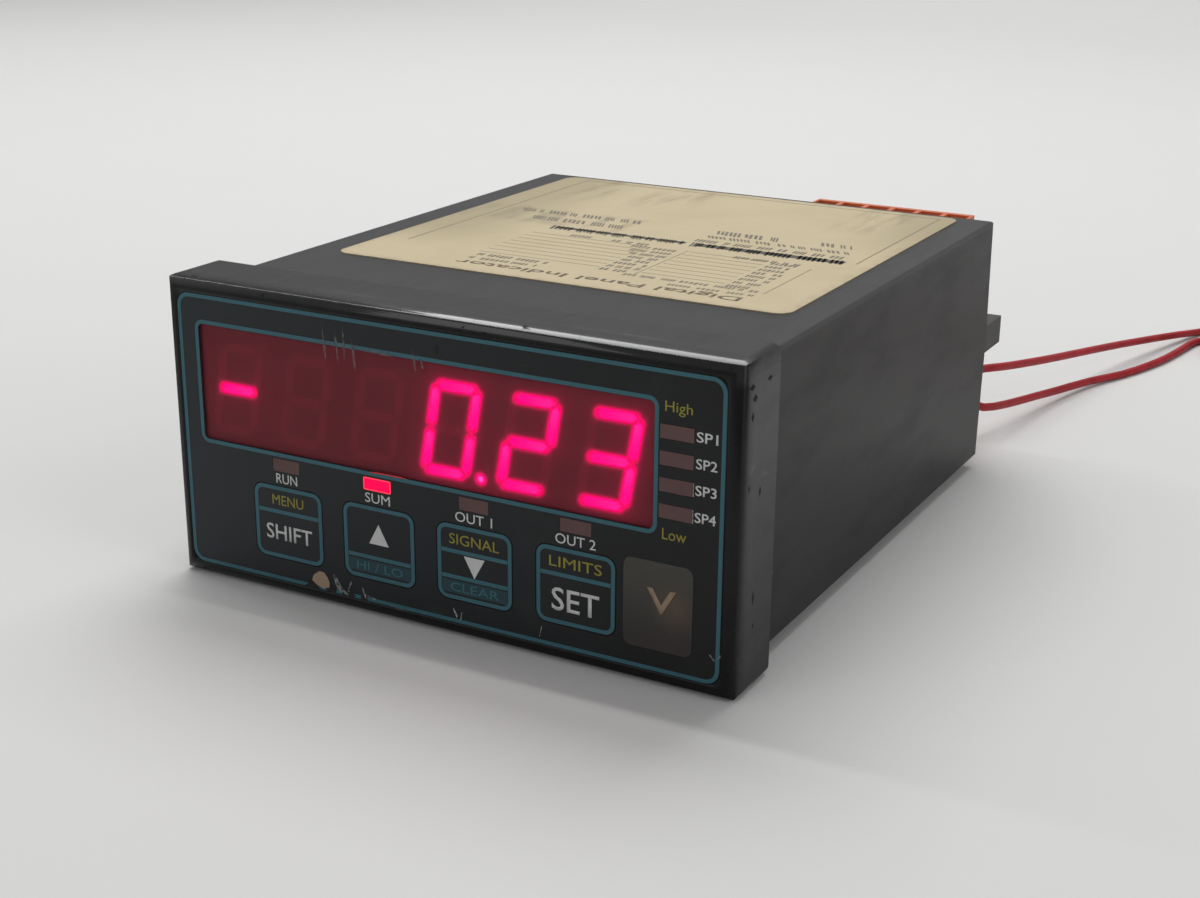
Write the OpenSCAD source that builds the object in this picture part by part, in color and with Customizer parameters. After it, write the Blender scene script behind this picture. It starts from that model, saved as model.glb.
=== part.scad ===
// Digital panel meter, 1/8 DIN: a moulded case with a film-faced front, a six-digit
// LED display behind a red window, four film keys over tact switches, two circuit
// boards on rails, and plug-in terminals through a screwed rear panel.
//
// X runs to the right seen from the front, Y from the front to the back, Z up.
// Sub-part modules are drawn with Y from the bezel's face and Z from the case's
// centre line, and in_place() moves them to the model's origin.

/* [Bezel] */
// Width of the bezel
bezel_w = 96; // [95:0.5:98]
// Height of the bezel
bezel_h = 48; // [47:0.5:50]
// Depth of the bezel in front of the panel
bezel_d = 11.4; // [11:0.1:14]
// Rounding of the bezel's front edges
bezel_edge_r = 2.2; // [1:0.1:2.4]
// Rounding of the bezel's four corners, seen from the front
bezel_corner_r = 1.5; // [0.8:0.1:2.5]
// Thickness of the front plate behind the film
plate_t = 2.05; // [1.6:0.05:2.4]

/* [Sleeve] */
// Width of the sleeve at its parting line
sleeve_w = 92; // [91.5:0.25:93]
// Height of the sleeve
sleeve_h = 44; // [43.5:0.25:45]
// Length of the sleeve behind the bezel
sleeve_len = 100.1; // [95:0.5:120]
// Wall of the sleeve
wall = 2; // [1.7:0.1:2.1]
// Draft that each side takes from the parting line to the top or bottom edge
draft = 0.3; // [0.1:0.1:0.5]
// Rounding of the sleeve's long edges
sleeve_edge_r = 0.9; // [0.4:0.1:1.4]

/* [Front film] */
// Bare rim of the bezel around the film
film_margin = 2.3; // [2:0.1:2.8]
// Thickness of the film
film_t = 0.35; // [0.25:0.05:0.5]
// How far the film lies below the bezel's face
film_sink = 0.1; // [0.05:0.05:0.3]
// Rounding of the film's corners
film_corner_r = 2.2; // [1:0.1:3]

/* [Display window] */
// Centre of the window from the centre of the front, across
window_x = -3.35; // [-3.8:0.05:-3.2]
// Centre of the window from the centre of the front, up
window_z = 8.1; // [7.9:0.05:8.2]
// Width of the window
window_w = 76.9; // [75:0.1:77.1]
// Height of the window
window_h = 18; // [17:0.1:18.1]
// Thickness of the tinted sheet behind the film
tint_t = 0.3; // [0.2:0.05:0.5]

/* [Digits] */
// Number of digits
digit_count = 6; // [4:1:6]
// Distance from one digit to the next
digit_pitch = 12.7; // [12.6:0.05:12.8]
// Centre of the row of digits from the centre of the front, across
digits_x = -3.6; // [-3.8:0.05:-3.4]
// Centre of the row of digits from the centre of the front, up
digits_z = 7.35; // [7.2:0.05:7.6]
// Height of one digit module
module_h = 17.6; // [17:0.1:17.7]
// Depth of one digit module
module_d = 8.7; // [8:0.1:9.5]
// Height of the figure, over its segments
figure_h = 14.2; // [12.5:0.1:14.6]
// Width of the figure, over its segments
figure_w = 8.5; // [7.5:0.1:8.8]
// Width of one segment
segment_w = 1.6; // [1.2:0.1:1.8]
// Lean of the figures, in degrees
lean = 10; // [0:1:12]

/* [Indicators] */
// Width of a status window
status_w = 4.9; // [4:0.1:5.4]
// Height of a status window
status_h = 2; // [1.6:0.1:2]
// Centre of the status windows from the centre of the front, up
status_z = -2.95; // [-3.1:0.05:-2.95]
// Width of an alarm bar
alarm_w = 5; // [4:0.1:5.2]
// Height of an alarm bar
alarm_h = 2; // [1.4:0.1:2.4]
// Centre of the alarm bars from the centre of the front, across
alarm_x = 38.5; // [38.4:0.1:38.9]
// Middle of the four alarm bars from the centre of the front, up
alarm_z = 7.6; // [7:0.1:8]
// Distance from one alarm bar to the next
alarm_pitch = 3.73; // [3.2:0.05:4]

/* [Keys] */
// Distance from one key to the next
key_pitch = 16.6; // [16:0.1:16.6]
// Middle of the four keys from the centre of the front, across
keys_x = -1.6; // [-2.6:0.1:-1.6]
// Centre of the keys from the centre of the front, up
keys_z = -12.2; // [-12.4:0.1:-12]
// Width of a key
key_w = 12.7; // [11:0.1:12.8]
// Height of a key
key_h = 11.8; // [10:0.1:12]
// Rounding of a key's corners
key_r = 1.7; // [1:0.1:2.5]
// Travel of a key
key_travel = 0.35; // [0.2:0.05:0.4]
// Side of a key's square post
post_w = 5; // [4:0.2:6]
// Height of a tact switch on its board
switch_h = 3.6; // [3.2:0.1:4]
// Side of a tact switch
switch_w = 6.2; // [6:0.1:7]
// Radius of a tact switch's plunger
plunger_r = 1.7; // [1.2:0.1:2]

/* [Units window] */
// Centre of the units window from the centre of the front, across
units_x = 36.1; // [36:0.1:36.8]
// Centre of the units window from the centre of the front, up
units_z = -12.05; // [-12.5:0.05:-11.8]
// Width of the units window
units_w = 10.6; // [9:0.1:10.6]
// Height of the units window
units_h = 13.1; // [11:0.1:13.4]
// Thickness of the legend card behind the units window
card_t = 0.3; // [0.2:0.05:0.5]

/* [Boards] */
// Thickness of the circuit boards
board_t = 1.6; // [1.2:0.1:1.8]
// Gap between the power board and the sleeve's floor
board_floor = 0.6; // [0.4:0.1:0.8]
// Reach of the board rails from the sleeve's sides
rail_reach = 1.8; // [1.4:0.1:2.4]
// Thickness of a board rail
rail_t = 1.2; // [0.8:0.1:1.5]

/* [Board parts] */
// Width of the potted transformer
transformer_w = 30; // [26:0.5:32]
// Length of the transformer, front to back
transformer_d = 28; // [22:0.5:30]
// Height of the transformer
transformer_h = 22; // [18:0.5:22.5]
// Width of a relay
relay_w = 9.8; // [8:0.1:10.2]
// Length of a relay, front to back
relay_d = 20; // [16:0.5:22]
// Height of a relay
relay_h = 12.5; // [10:0.5:16]
// Gap between two relays
relay_gap = 0.6; // [0.4:0.1:1]
// Radius of the largest filter capacitor
can_r = 6.2; // [5:0.1:6.4]
// Height of the largest filter capacitor
can_h = 20; // [16:0.5:22]
// Side of the processor
processor_w = 16.6; // [14:0.1:18]

/* [Plugs] */
// Pitch of the power and relay terminals
pitch = 5.08; // [5:0.04:5.12]
// Number of relay terminals
relay_poles = 6; // [3:1:6]
// Number of supply terminals
supply_poles = 3; // [2:1:3]
// Distance from the sleeve's right side to the relay and supply plugs
plug_side = 6.2; // [6:0.1:7]
// Height of the relay and supply plugs outside the case
plug_h = 10.9; // [10.5:0.1:11.1]
// How far the relay and supply plugs stand out of the rear panel
plug_out = 7.5; // [7:0.1:10]
// Pitch of the signal terminals
signal_pitch = 3.5; // [3.4:0.02:3.52]
// Number of signal terminals
signal_poles = 5; // [3:1:5]
// Distance from the sleeve's right side to the signal plug
signal_side = 1; // [0.8:0.1:1.4]
// Centre of the signal plug from the case's centre line, up
signal_plug_z = -0.65; // [-0.8:0.05:-0.4]
// Height of the signal plug
signal_plug_h = 5.1; // [4.8:0.1:5.4]
// How far the signal plug stands out of the rear panel
signal_plug_out = 12; // [9:0.1:14]
// Length of the plugs' noses inside the case
nose_len = 11.3; // [10:0.1:13]

/* [Rear panel] */
// Thickness of the rear panel
panel_t = 2.2; // [1.6:0.1:2.6]
// Radius of a rear screw's thread
screw_r = 1.25; // [1:0.05:1.3]
// Radius of a rear screw's head
screw_head_r = 1.9; // [1.7:0.1:1.9]

/* [Label] */
// Width of the label on top
label_w = 80; // [60:1:84]
// Length of the label
label_len = 78; // [50:1:78]
// Distance of the label from the case's rear end
label_rear = 1.5; // [1:0.5:8]
// Thickness of the label
label_t = 0.15; // [0.1:0.05:0.3]
// Rounding of the label's corners
label_r = 2.5; // [1:0.5:4]

/* [Supply wires] */
// Diameter of a supply wire over its insulation
wire_d = 1.6; // [1.4:0.1:1.8]
// Radius of a coil's mean turn
coil_r = 9.9; // [9:0.1:11]
// Turns beside each other in a coil
coil_across = 2; // [2:1:3]
// Turns on top of each other in a coil
coil_layers = 3; // [2:1:4]

/* [Hidden] */
$fn = 48;
key_count = 4;

// clearances
fit = 0.05;             // a flush insert in the film
slip = 0.1;             // a moving film key in the film, a part in its pocket
easy = 0.3;             // a post or a plunger in its hole
plug_gap = 0.3;         // rear panel to the shoulders of the plugs
nose_gap = 0.2;         // a plug's nose in its header
bite = 1;               // how far a cutter passes the face that it cuts

// places along Y, from the bezel's face
rear_y = bezel_d + sleeve_len;
overall_d = rear_y + plug_gap + signal_plug_out;
film_y = film_sink;
film_back_y = film_y + film_t;
carrier_y = film_back_y + tint_t;
plate_back_y = film_back_y + plate_t;
digit_y = carrier_y + slip;
display_board_y = digit_y + module_d;
board_front_y = display_board_y + board_t;
panel_y = rear_y - panel_t;
shoulder_y = rear_y + plug_gap;
nose_y = shoulder_y - nose_len;

// the bezel, the sleeve and what fits them
film_w = bezel_w - 2 * film_margin;
film_h = bezel_h - 2 * film_margin;
cavity_w = sleeve_w - 2 * wall;
cavity_h = sleeve_h - 2 * wall;
board_w = cavity_w - 1;
display_board_h = cavity_h - 1;

// digits, their carrier and the indicators
module_w = digit_pitch - slip;
digit_x0 = digits_x - (digit_count - 1) / 2 * digit_pitch;
digits_w = digit_count * digit_pitch + slip;
figure_depth = 0.8;
point_r = 0.75;
lit_digits = ["minus", "", "", "0.", "2", "3"];
carrier_rim = 1.6;
carrier_floor = 0.9;
carrier_right_rim = 1.2;
carrier_x0 = digits_x - digits_w / 2 - carrier_rim;
carrier_x1 = alarm_x + alarm_w / 2 + carrier_right_rim;
carrier_z0 = status_z - status_h / 2 - carrier_floor;
carrier_z_mid = status_z + status_h / 2;
carrier_low_x0 = key_x(0) - status_w / 2 - carrier_floor;
carrier_low_x1 = key_x(key_count - 1) + status_w / 2 + carrier_floor;
carrier_z1 = window_z + window_h / 2 + fit + 0.4;
carrier_d = 5.2;
tint_flange = 0.4;
indicator_flange = 0.3;

// keys and switches
switch_y = display_board_y - switch_h;
post_end_y = switch_y - 1.05;
plunger_in = 1.25;
bore_depth = plunger_in + key_travel + easy;

// boards, headers and plugs
shroud = 0.9;
nose_drop = 2.35;       // a plug's nose is lower than its body by this on each side
nose_side = 0.8;        // and narrower by this on each side
nose_h = plug_h - 2 * nose_drop;
header_h = nose_h + 2 * (nose_gap + shroud);
signal_nose_drop = 0.5;
signal_nose_h = signal_plug_h - 2 * signal_nose_drop;
signal_header_h = signal_nose_h + 2 * (nose_gap + shroud);
signal_lug = 2.45;      // the flange at each end of the signal plug
header_back_wall = 1.6;
header_len = nose_len - plug_gap - panel_t + header_back_wall + 1.3;
pin_w = 1;
pin_reach = 8.1;
pin_tail = 2;
funnel_len = 4.9;
clamp_y = shoulder_y + 3.6;
clamp_r = 1.6;
clamp_floor = 2.3;
well_depth = 1;         // each clamp lies in a well between two ribs
rib_w = 0.95;
relay_header_w = relay_poles * pitch - 2 * nose_side + 2 * (nose_gap + shroud);
supply_header_w = supply_poles * pitch - 2 * nose_side + 2 * (nose_gap + shroud);
plug_right_x = sleeve_w / 2 - plug_side;
signal_right_x = sleeve_w / 2 - signal_side;
signal_row_x = signal_right_x - signal_lug;
signal_nose_w = signal_poles * signal_pitch;
signal_header_w = signal_nose_w + 2 * (nose_gap + shroud);
signal_board_top = cavity_h / 2 - slip - header_h;
power_board_top = board_floor + board_t - cavity_h / 2;
relay_plug_z = signal_board_top + header_h / 2;
supply_plug_z = power_board_top + header_h / 2;
signal_header_top = signal_plug_z + signal_header_h / 2;
signal_header_low = signal_plug_z - signal_header_h / 2;
board_rear_y = panel_y - 0.5;
board_edge = board_w / 2;

// rear screws, beside the plugs and between their headers
boss_r = 2.4;
boss_len = 12;
screw_len = 10;
screw_head_t = 1.6;
screw_x = plug_right_x + slip + 0.15 + screw_head_r;
screw_high = (signal_header_top + signal_board_top) / 2;
screw_low = easy + boss_r - signal_header_low;

// parts on the boards
transformer_side = 2.5;   // from the board's left edge
transformer_rear = 13;    // from the boards' rear edge
relay_side = 2.9;         // from the board's right edge
relay_to_header = 13.6;
can_side = 6.3;
can_gap = 3.5;
can_row = 41;             // from the display board
mid_can_r = 5;
mid_can_h = 16;
small_can_r = 4;
small_can_h = 12;
chip_pitch = 2.54;
chip_w = 6.4;
chip_h = 3.3;
chip_row = 23;            // from the display board
chip_step = 15;
chip_side = 31.5;         // from the board's right edge
processor_h = 3.2;
processor_side = 25.5;    // from the board's left edge
processor_row = 29;       // from the display board
pin_pitch = 1.27;
pin_l = 1.2;

// supply wires: routes in the model's own frame, from the plug's clamp to the coil
wire_sides = 8;
wire_steps = 2;
wire_1_route = [[32.2, 52.7, 10.4], [32.2, 57.5, 10.4], [32.7, 61, 10.9], [34.5, 65, 11.8],
    [37.6, 68.7, 12.3], [40.6, 72.5, 12.3], [42.2, 78.5, 11.4], [44.6, 89, 10], [46.6, 99.5, 8.6],
    [49.6, 115.5, 6.6], [52.8, 131.5, 4.6], [56.8, 147, 2.8], [60.2, 158, 1.6], [63, 165.5, 0.8],
    [66.5, 172.5, 0.8], [71.5, 179.5, 0.8], [78, 185, 0.8], [86, 187.3, 0.8]];
wire_2_route = [[37.3, 52.7, 10.4], [37.3, 57.5, 10.4], [37.9, 60.5, 9.6], [39.4, 63.2, 7.9],
    [41.6, 66.6, 6], [43.5, 75.5, 4.5], [45.6, 88, 3], [47.7, 98, 2], [51.2, 110.7, 1.2],
    [55.8, 121.2, 0.8], [59, 130.3, 0.8], [61.3, 139.3, 0.8], [62.9, 149.7, 0.8],
    [64, 156, 0.8], [67.5, 160.6, 0.8], [73, 162.6, 0.8], [80, 162.8, 0.8]];
coil_1_centre = [86, 176.5];
coil_2_centre = [80, 152];

function key_x(i) = keys_x + (i - (key_count - 1) / 2) * key_pitch;
function digit_x(i) = digit_x0 + i * digit_pitch;

module in_place() translate([0, -overall_d / 2, bezel_h / 2]) children();

// ---------------------------------------------------------------- drawing aids

module along_y(y, length) translate([0, y + length, 0]) rotate([90, 0, 0])
    linear_extrude(length) children();

module along_x(x, length) translate([x, 0, 0]) rotate([90, 0, 90])
    linear_extrude(length) children();

module rounded_rect(w, h, r) {
    square([w - 2 * r, h], center = true);
    square([w, h - 2 * r], center = true);
    for (x = [-1, 1], z = [-1, 1])
        translate([x * (w / 2 - r), z * (h / 2 - r)]) circle(r);
}

// a strip seen from its end: across by deep, with its two front corners rounded
module front_rounded(across, deep, r) {
    translate([-across / 2, r]) square([across, deep - r]);
    translate([r - across / 2, 0]) square([across - 2 * r, deep]);
    for (x = [-1, 1]) translate([x * (across / 2 - r), r]) circle(r);
}

// a block between two corners, given as centre and size in X and Z
module block(x, z, w, h, y, depth) translate([x - w / 2, y, z - h / 2])
    cube([w, depth, h]);

// ---------------------------------------------------------------- case

module bezel_block() intersection() {
    along_y(0, bezel_d) rounded_rect(bezel_w, bezel_h, bezel_corner_r);
    translate([0, 0, -bezel_h / 2]) linear_extrude(bezel_h)
        front_rounded(bezel_w, bezel_d, bezel_edge_r);
    along_x(-bezel_w / 2, bezel_w) rotate(90) mirror([0, 1])
        front_rounded(bezel_h, bezel_d, bezel_edge_r);
}

module sleeve_section() intersection() {
    rounded_rect(sleeve_w, sleeve_h, sleeve_edge_r);
    polygon([[-sleeve_w / 2, 0], [draft - sleeve_w / 2, sleeve_h / 2],
        [sleeve_w / 2 - draft, sleeve_h / 2], [sleeve_w / 2, 0],
        [sleeve_w / 2 - draft, -sleeve_h / 2], [draft - sleeve_w / 2, -sleeve_h / 2]]);
}

module board_rails(board_top) for (side = [-1, 1]) {
    bottom = board_top - board_t - slip;
    for (z = [bottom - rail_t, board_top + slip])
        translate([side > 0 ? cavity_w / 2 - rail_reach : -cavity_w / 2 - bite, board_front_y + 3, z])
            cube([rail_reach + bite, panel_y - boss_len - board_front_y - 4, rail_t]);
}

module screw_places() for (side = [0, 1], z = [screw_high, -screw_low])
    mirror([side, 0, 0]) translate([screw_x, 0, z]) children();

module screw_boss() {
    translate([0, panel_y, 0]) rotate([90, 0, 0]) cylinder(boss_len, r = boss_r);
    translate([0, panel_y - boss_len, -boss_r / 2]) cube([wall + plug_side, boss_len, boss_r]);
}

// the space of the three headers and their pins, kept free of bosses
module header_space() for (h = [[plug_right_x - relay_poles * pitch / 2, relay_plug_z, relay_header_w, header_h],
        [plug_right_x - supply_poles * pitch / 2, supply_plug_z, supply_header_w, header_h],
        [signal_row_x - signal_nose_w / 2, signal_plug_z, signal_header_w, signal_header_h]])
    block(h[0], h[1], h[2] + 2 * nose_gap, h[3] + 2 * nose_gap, panel_y - boss_len - bite, boss_len + 2 * bite);

module case() color("#26272a") in_place() difference() {
    union() {
        difference() {
            union() {
                bezel_block();
                along_y(bezel_d - bite, sleeve_len + bite) sleeve_section();
            }
            along_y(plate_back_y, rear_y) square([cavity_w, cavity_h], center = true);
        }
        intersection() {
            union() {
                board_rails(signal_board_top);
                board_rails(power_board_top);
                difference() {
                    screw_places() screw_boss();
                    header_space();
                }
            }
            along_y(bezel_d, sleeve_len - 1) square([sleeve_w - wall, sleeve_h - wall], center = true);
        }
    }
    // the film's recess, and the openings behind it
    along_y(-bite, bite + film_back_y)
        rounded_rect(film_w + 2 * slip, film_h + 2 * slip, film_corner_r + slip);
    carrier_outline(0, plate_back_y + bite, slip);
    for (i = [0 : key_count - 1]) {
        block(key_x(i), keys_z, key_w + 4 * slip, key_h + 4 * slip, 0, film_back_y + key_travel + slip);
        block(key_x(i), keys_z, post_w + 2 * easy, post_w + 2 * easy, 0, plate_back_y + bite);
    }
    block(units_x, units_z, units_w + 2 * (tint_flange + slip), units_h + 2 * (tint_flange + slip),
        0, carrier_y + card_t);
    // rear screws
    screw_places() translate([0, panel_y + bite, 0]) rotate([90, 0, 0]) cylinder(screw_len + bite, r = screw_r);
}

// ---------------------------------------------------------------- film and windows

module status_places() for (i = [0 : key_count - 1]) translate([key_x(i), 0, status_z]) children();
module alarm_places() for (i = [-1.5 : 1 : 1.5])
    translate([alarm_x, 0, alarm_z + i * alarm_pitch]) children();

module front_overlay() color("#2b2f33") in_place() difference() {
    along_y(film_y, film_t) rounded_rect(film_w, film_h, film_corner_r);
    block(window_x, window_z, window_w + 2 * fit, window_h + 2 * fit, -bite, bite + carrier_y);
    status_places() block(0, 0, status_w + 2 * fit, status_h + 2 * fit, -bite, bite + carrier_y);
    alarm_places() block(0, 0, alarm_w + 2 * fit, alarm_h + 2 * fit, -bite, bite + carrier_y);
    for (i = [0 : key_count - 1]) translate([key_x(i), 0, keys_z])
        along_y(-bite, bite + carrier_y) rounded_rect(key_w + 2 * slip, key_h + 2 * slip, key_r + slip);
    translate([units_x, 0, units_z]) along_y(-bite, bite + carrier_y)
        rounded_rect(units_w + 2 * fit, units_h + 2 * fit, 1.3 + fit);
}

// a pane whose land fills the film's cut-out, with a flange bonded behind the film
module pane(x, z, w, h, flange) {
    block(x, z, w, h, film_y, film_t + tint_t);
    block(x, z, w + 2 * flange, h + 2 * flange, film_back_y, tint_t);
}

module display_window() color("#7a2630", 0.7) in_place()
    pane(window_x, window_z, window_w, window_h, tint_flange);

module indicator_windows() color("#7d6258", 0.7) in_place() {
    status_places() pane(0, 0, status_w, status_h, indicator_flange);
    alarm_places() pane(0, 0, alarm_w, alarm_h, indicator_flange);
}

module units_window() color("#5d5753", 0.7) in_place() {
    translate([units_x, 0, units_z]) along_y(film_y, film_t + tint_t)
        rounded_rect(units_w, units_h, 1.3);
    block(units_x, units_z, units_w + 2 * tint_flange, units_h + 2 * tint_flange, film_back_y, tint_t);
}

module units_card() color("#6b6058") in_place()
    block(units_x, units_z, units_w + 2 * tint_flange, units_h + 2 * tint_flange, carrier_y, card_t);

// ---------------------------------------------------------------- display

// a wide part behind the digits and alarm bars, and a low part behind the status windows
module carrier_outline(y, depth, grow) {
    translate([carrier_x0 - grow, y, carrier_z_mid - grow])
        cube([carrier_x1 - carrier_x0 + 2 * grow, depth, carrier_z1 - carrier_z_mid + 2 * grow]);
    translate([carrier_low_x0 - grow, y, carrier_z0 - grow])
        cube([carrier_low_x1 - carrier_low_x0 + 2 * grow, depth, carrier_z_mid - carrier_z0 + bite]);
}

module display_carrier() color("#1b1a1a") in_place() difference() {
    carrier_outline(carrier_y, carrier_d, 0);
    block(digits_x, digits_z, digits_w, module_h + 2 * slip, 0, carrier_y + carrier_d + bite);
    status_places() block(0, 0, status_w, status_h, 0, carrier_y + carrier_d + bite);
    alarm_places() block(0, 0, alarm_w, alarm_h, 0, carrier_y + carrier_d + bite);
}

// the figure's seven segments, named as usual from a at the top to g in the middle
half_h = (figure_h - segment_w) / 2;
half_w = (figure_w - segment_w) / 2;
segment_gap = 0.18;

function leaned(p) = [p[0] + p[1] * tan(lean), p[1]];
// a bar with mitred ends between two points on an upright or a level line
function bar(a, b) = let (u = (b - a) / norm(b - a), n = [-u[1], u[0]] * segment_w / 2,
        s = u * segment_gap, e = u * (segment_w / 2 + segment_gap))
    [a + s, a + e + n, b - e + n, b - s, b - e - n, a + e - n];
function segment_points(name) =
    name == "a" ? bar([-half_w, half_h], [half_w, half_h]) :
    name == "b" ? bar([half_w, half_h], [half_w, 0]) :
    name == "c" ? bar([half_w, 0], [half_w, -half_h]) :
    name == "d" ? bar([-half_w, -half_h], [half_w, -half_h]) :
    name == "e" ? bar([-half_w, 0], [-half_w, -half_h]) :
    name == "f" ? bar([-half_w, half_h], [-half_w, 0]) :
    bar([-half_w, 0], [half_w, 0]);
function lit_segments(figure) =
    figure == "0." ? "abcdef." : figure == "2" ? "abdeg" : figure == "3" ? "abcdg" :
    figure == "minus" ? "g" : "";
function is_lit(name, figure) = len(search(name, lit_segments(figure))) > 0;

module segment(name) {
    if (name == ".") translate([half_w + segment_w * 0.85, -half_h - 0.05]) circle(point_r);
    else polygon([for (p = segment_points(name)) leaned(p)]);
}

module digit_face(names) for (name = names) segment(name);

module digit(i) color("#8a8580") in_place() difference() {
    block(digit_x(i), digits_z, module_w, module_h, digit_y, module_d);
    translate([digit_x(i), 0, digits_z]) along_y(digit_y - bite, bite + figure_depth) digit_face("abcdefg.");
}

module segments(lit) in_place() for (i = [0 : digit_count - 1])
    translate([digit_x(i), 0, digits_z]) along_y(digit_y, figure_depth)
        digit_face([for (name = "abcdefg.") if (is_lit(name, lit_digits[i]) == lit) name]);

// a light-bar LED, its lens sunk a little in the mouth of its housing
module light_bar(w, h) difference() {
    block(0, 0, w - slip, h - slip, digit_y, module_d);
    block(0, 0, w - 0.8, h - 0.8, digit_y - bite, bite + 0.15);
}

module status_led(i) in_place() translate([key_x(i), 0, status_z]) light_bar(status_w, status_h);
module alarm_leds() color("#c9b9b0") in_place() alarm_places() light_bar(alarm_w, alarm_h);

// ---------------------------------------------------------------- keys

module key(i) color("#30343a") in_place() translate([key_x(i), 0, keys_z]) {
    along_y(film_y, film_t) rounded_rect(key_w, key_h, key_r);
    along_y(film_back_y, post_end_y - film_back_y) rounded_rect(post_w, post_w, 0.8);
}

module plunger(i) color("#2c2c2c") in_place()
    translate([key_x(i), switch_y + plunger_in, keys_z]) rotate([90, 0, 0])
        cylinder(switch_y + plunger_in - post_end_y, r = plunger_r);

module tact_switch(i) color("#9a9c9e") in_place() difference() {
    translate([key_x(i), 0, keys_z]) {
        along_y(switch_y, switch_h) rounded_rect(switch_w, switch_w, 0.6);
        for (x = [-1, 1], z = [-1, 1])
            block(x * (switch_w / 2 + 0.4), z * 1.9, 1.4, 0.8, display_board_y - 1, 1);
    }
    translate([key_x(i), switch_y + bore_depth, keys_z]) rotate([90, 0, 0])
        cylinder(bore_depth + bite, r = plunger_r + easy);
}

// ---------------------------------------------------------------- boards

module display_board() color("#2f6b3a") in_place()
    block(0, 0, board_w, display_board_h, display_board_y, board_t);

module level_board(top) in_place() translate([-board_w / 2, board_front_y + 0.3, top - board_t])
    cube([board_w, board_rear_y - board_front_y - 0.3, board_t]);

// right-angle pin strips that join the two level boards to the display board
link_h = 2.5;
link_poles = 12;
link_pin = 0.64;
module board_links() color("#202020") in_place() for (top = [power_board_top, signal_board_top]) {
    translate([-link_poles * chip_pitch / 2, board_front_y + 0.8, top])
        cube([link_poles * chip_pitch, link_h, link_h]);
    for (i = [0 : link_poles - 1])
        block((i - (link_poles - 1) / 2) * chip_pitch, top + link_h / 2, link_pin, link_pin, board_front_y, bite);
}

// ---------------------------------------------------------------- components

// a potted transformer: a moulded box with a chamfered top and four feet
module transformer() color("#23303f") in_place()
    translate([transformer_side + transformer_w / 2 - board_edge, board_rear_y - transformer_rear - transformer_d / 2,
        power_board_top]) {
        foot = 3;
        chamfer = 2.2;
        half = transformer_w / 2;
        along_y(-transformer_d / 2, transformer_d) polygon([[-half, 1], [half, 1], [half, transformer_h - chamfer],
            [half - chamfer, transformer_h], [chamfer - half, transformer_h], [-half, transformer_h - chamfer]]);
        for (x = [-1, 1], y = [-1, 1])
            translate([x * (half - foot) - foot / 2, y * (transformer_d / 2 - foot) - foot / 2, 0])
                cube([foot, foot, bite]);
    }

// a relay: its cover has a step at each end of its foot and a shallow recess on top
module relay(i) color("#2a5f9e") in_place()
    translate([board_edge - relay_side - relay_w / 2 - (3 - i) * (relay_w + relay_gap),
        panel_y - header_len - pin_tail - relay_to_header - relay_d, power_board_top]) difference() {
        step = 0.6;
        translate([-relay_w / 2, 0, 0]) cube([relay_w, relay_d, relay_h]);
        for (y = [-bite, relay_d - step])
            translate([step - relay_w / 3, y, -bite]) cube([2 * (relay_w / 3 - step), step + bite, bite + 0.8]);
        translate([-relay_w / 4, relay_d / 5, relay_h - 0.4]) cube([relay_w / 2, relay_d * 3 / 5, bite]);
    }

module can(x, r, height) translate([x, board_front_y + can_row, 0]) rotate_extrude()
    polygon([[0, 0], [r, 0], [r, height - 0.6], [r - 0.6, height], [r - 1.2, height],
        [r - 1.4, height - 0.4], [0, height - 0.4]]);

module filter_capacitors() color("#1d2540") in_place() translate([0, 0, power_board_top]) {
    x1 = can_side + can_r - board_edge;
    x2 = x1 + can_r + can_gap + mid_can_r;
    x3 = x2 + mid_can_r + can_gap + small_can_r;
    can(x1, can_r, can_h);
    can(x2, mid_can_r, mid_can_h);
    can(x3, small_can_r, small_can_h);
    can(x3 + 2 * small_can_r + can_gap, small_can_r, small_can_h);
}

module processor() color("#1c1c1e") in_place()
    translate([processor_side - board_edge, board_front_y + processor_row, signal_board_top]) {
        half = processor_w / 2;
        translate([0, 0, 0.4]) difference() {
            linear_extrude(processor_h) rounded_rect(processor_w, processor_w, 0.6);
            translate([2 - half, half - 2, processor_h - 0.3]) cylinder(bite, r = 0.7);
        }
        for (turn = [0, 90, 180, 270], i = [-5 : 5]) rotate(turn)
            translate([i * pin_pitch - 0.25, -half - 0.3, 0]) cube([0.5, pin_l, 1.4]);
    }

module dip_chip(pins) {
    length = pins / 2 * chip_pitch;
    translate([0, 0, 0.5]) difference() {
        translate([-length / 2, -chip_w / 2, 0]) cube([length, chip_w, chip_h]);
        translate([-length / 2, 0, chip_h - 0.6]) cylinder(bite, r = 1);
    }
    for (side = [-1, 1], i = [0 : pins / 2 - 1])
        translate([(i - (pins / 2 - 1) / 2) * chip_pitch - 0.3, side * (chip_w / 2 + 0.3) - 0.4, 0])
            cube([0.6, 0.8, 2]);
}

module converter_chips() color("#1c1c1e") in_place()
    translate([board_edge - chip_side, board_front_y + chip_row, signal_board_top]) {
        dip_chip(16);
        translate([0, chip_step, 0]) dip_chip(16);
        translate([0, 2 * chip_step, 0]) dip_chip(8);
        translate([-2 * chip_step, 2 * chip_step + chip_w / 2, 0]) dip_chip(20);
    }

// ---------------------------------------------------------------- terminals

// the places of a row of poles whose plug ends at right_x + lug
module poles(count, step, right_x) for (i = [0 : count - 1])
    translate([right_x - (i + 0.5) * step, 0, 0]) children();

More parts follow.
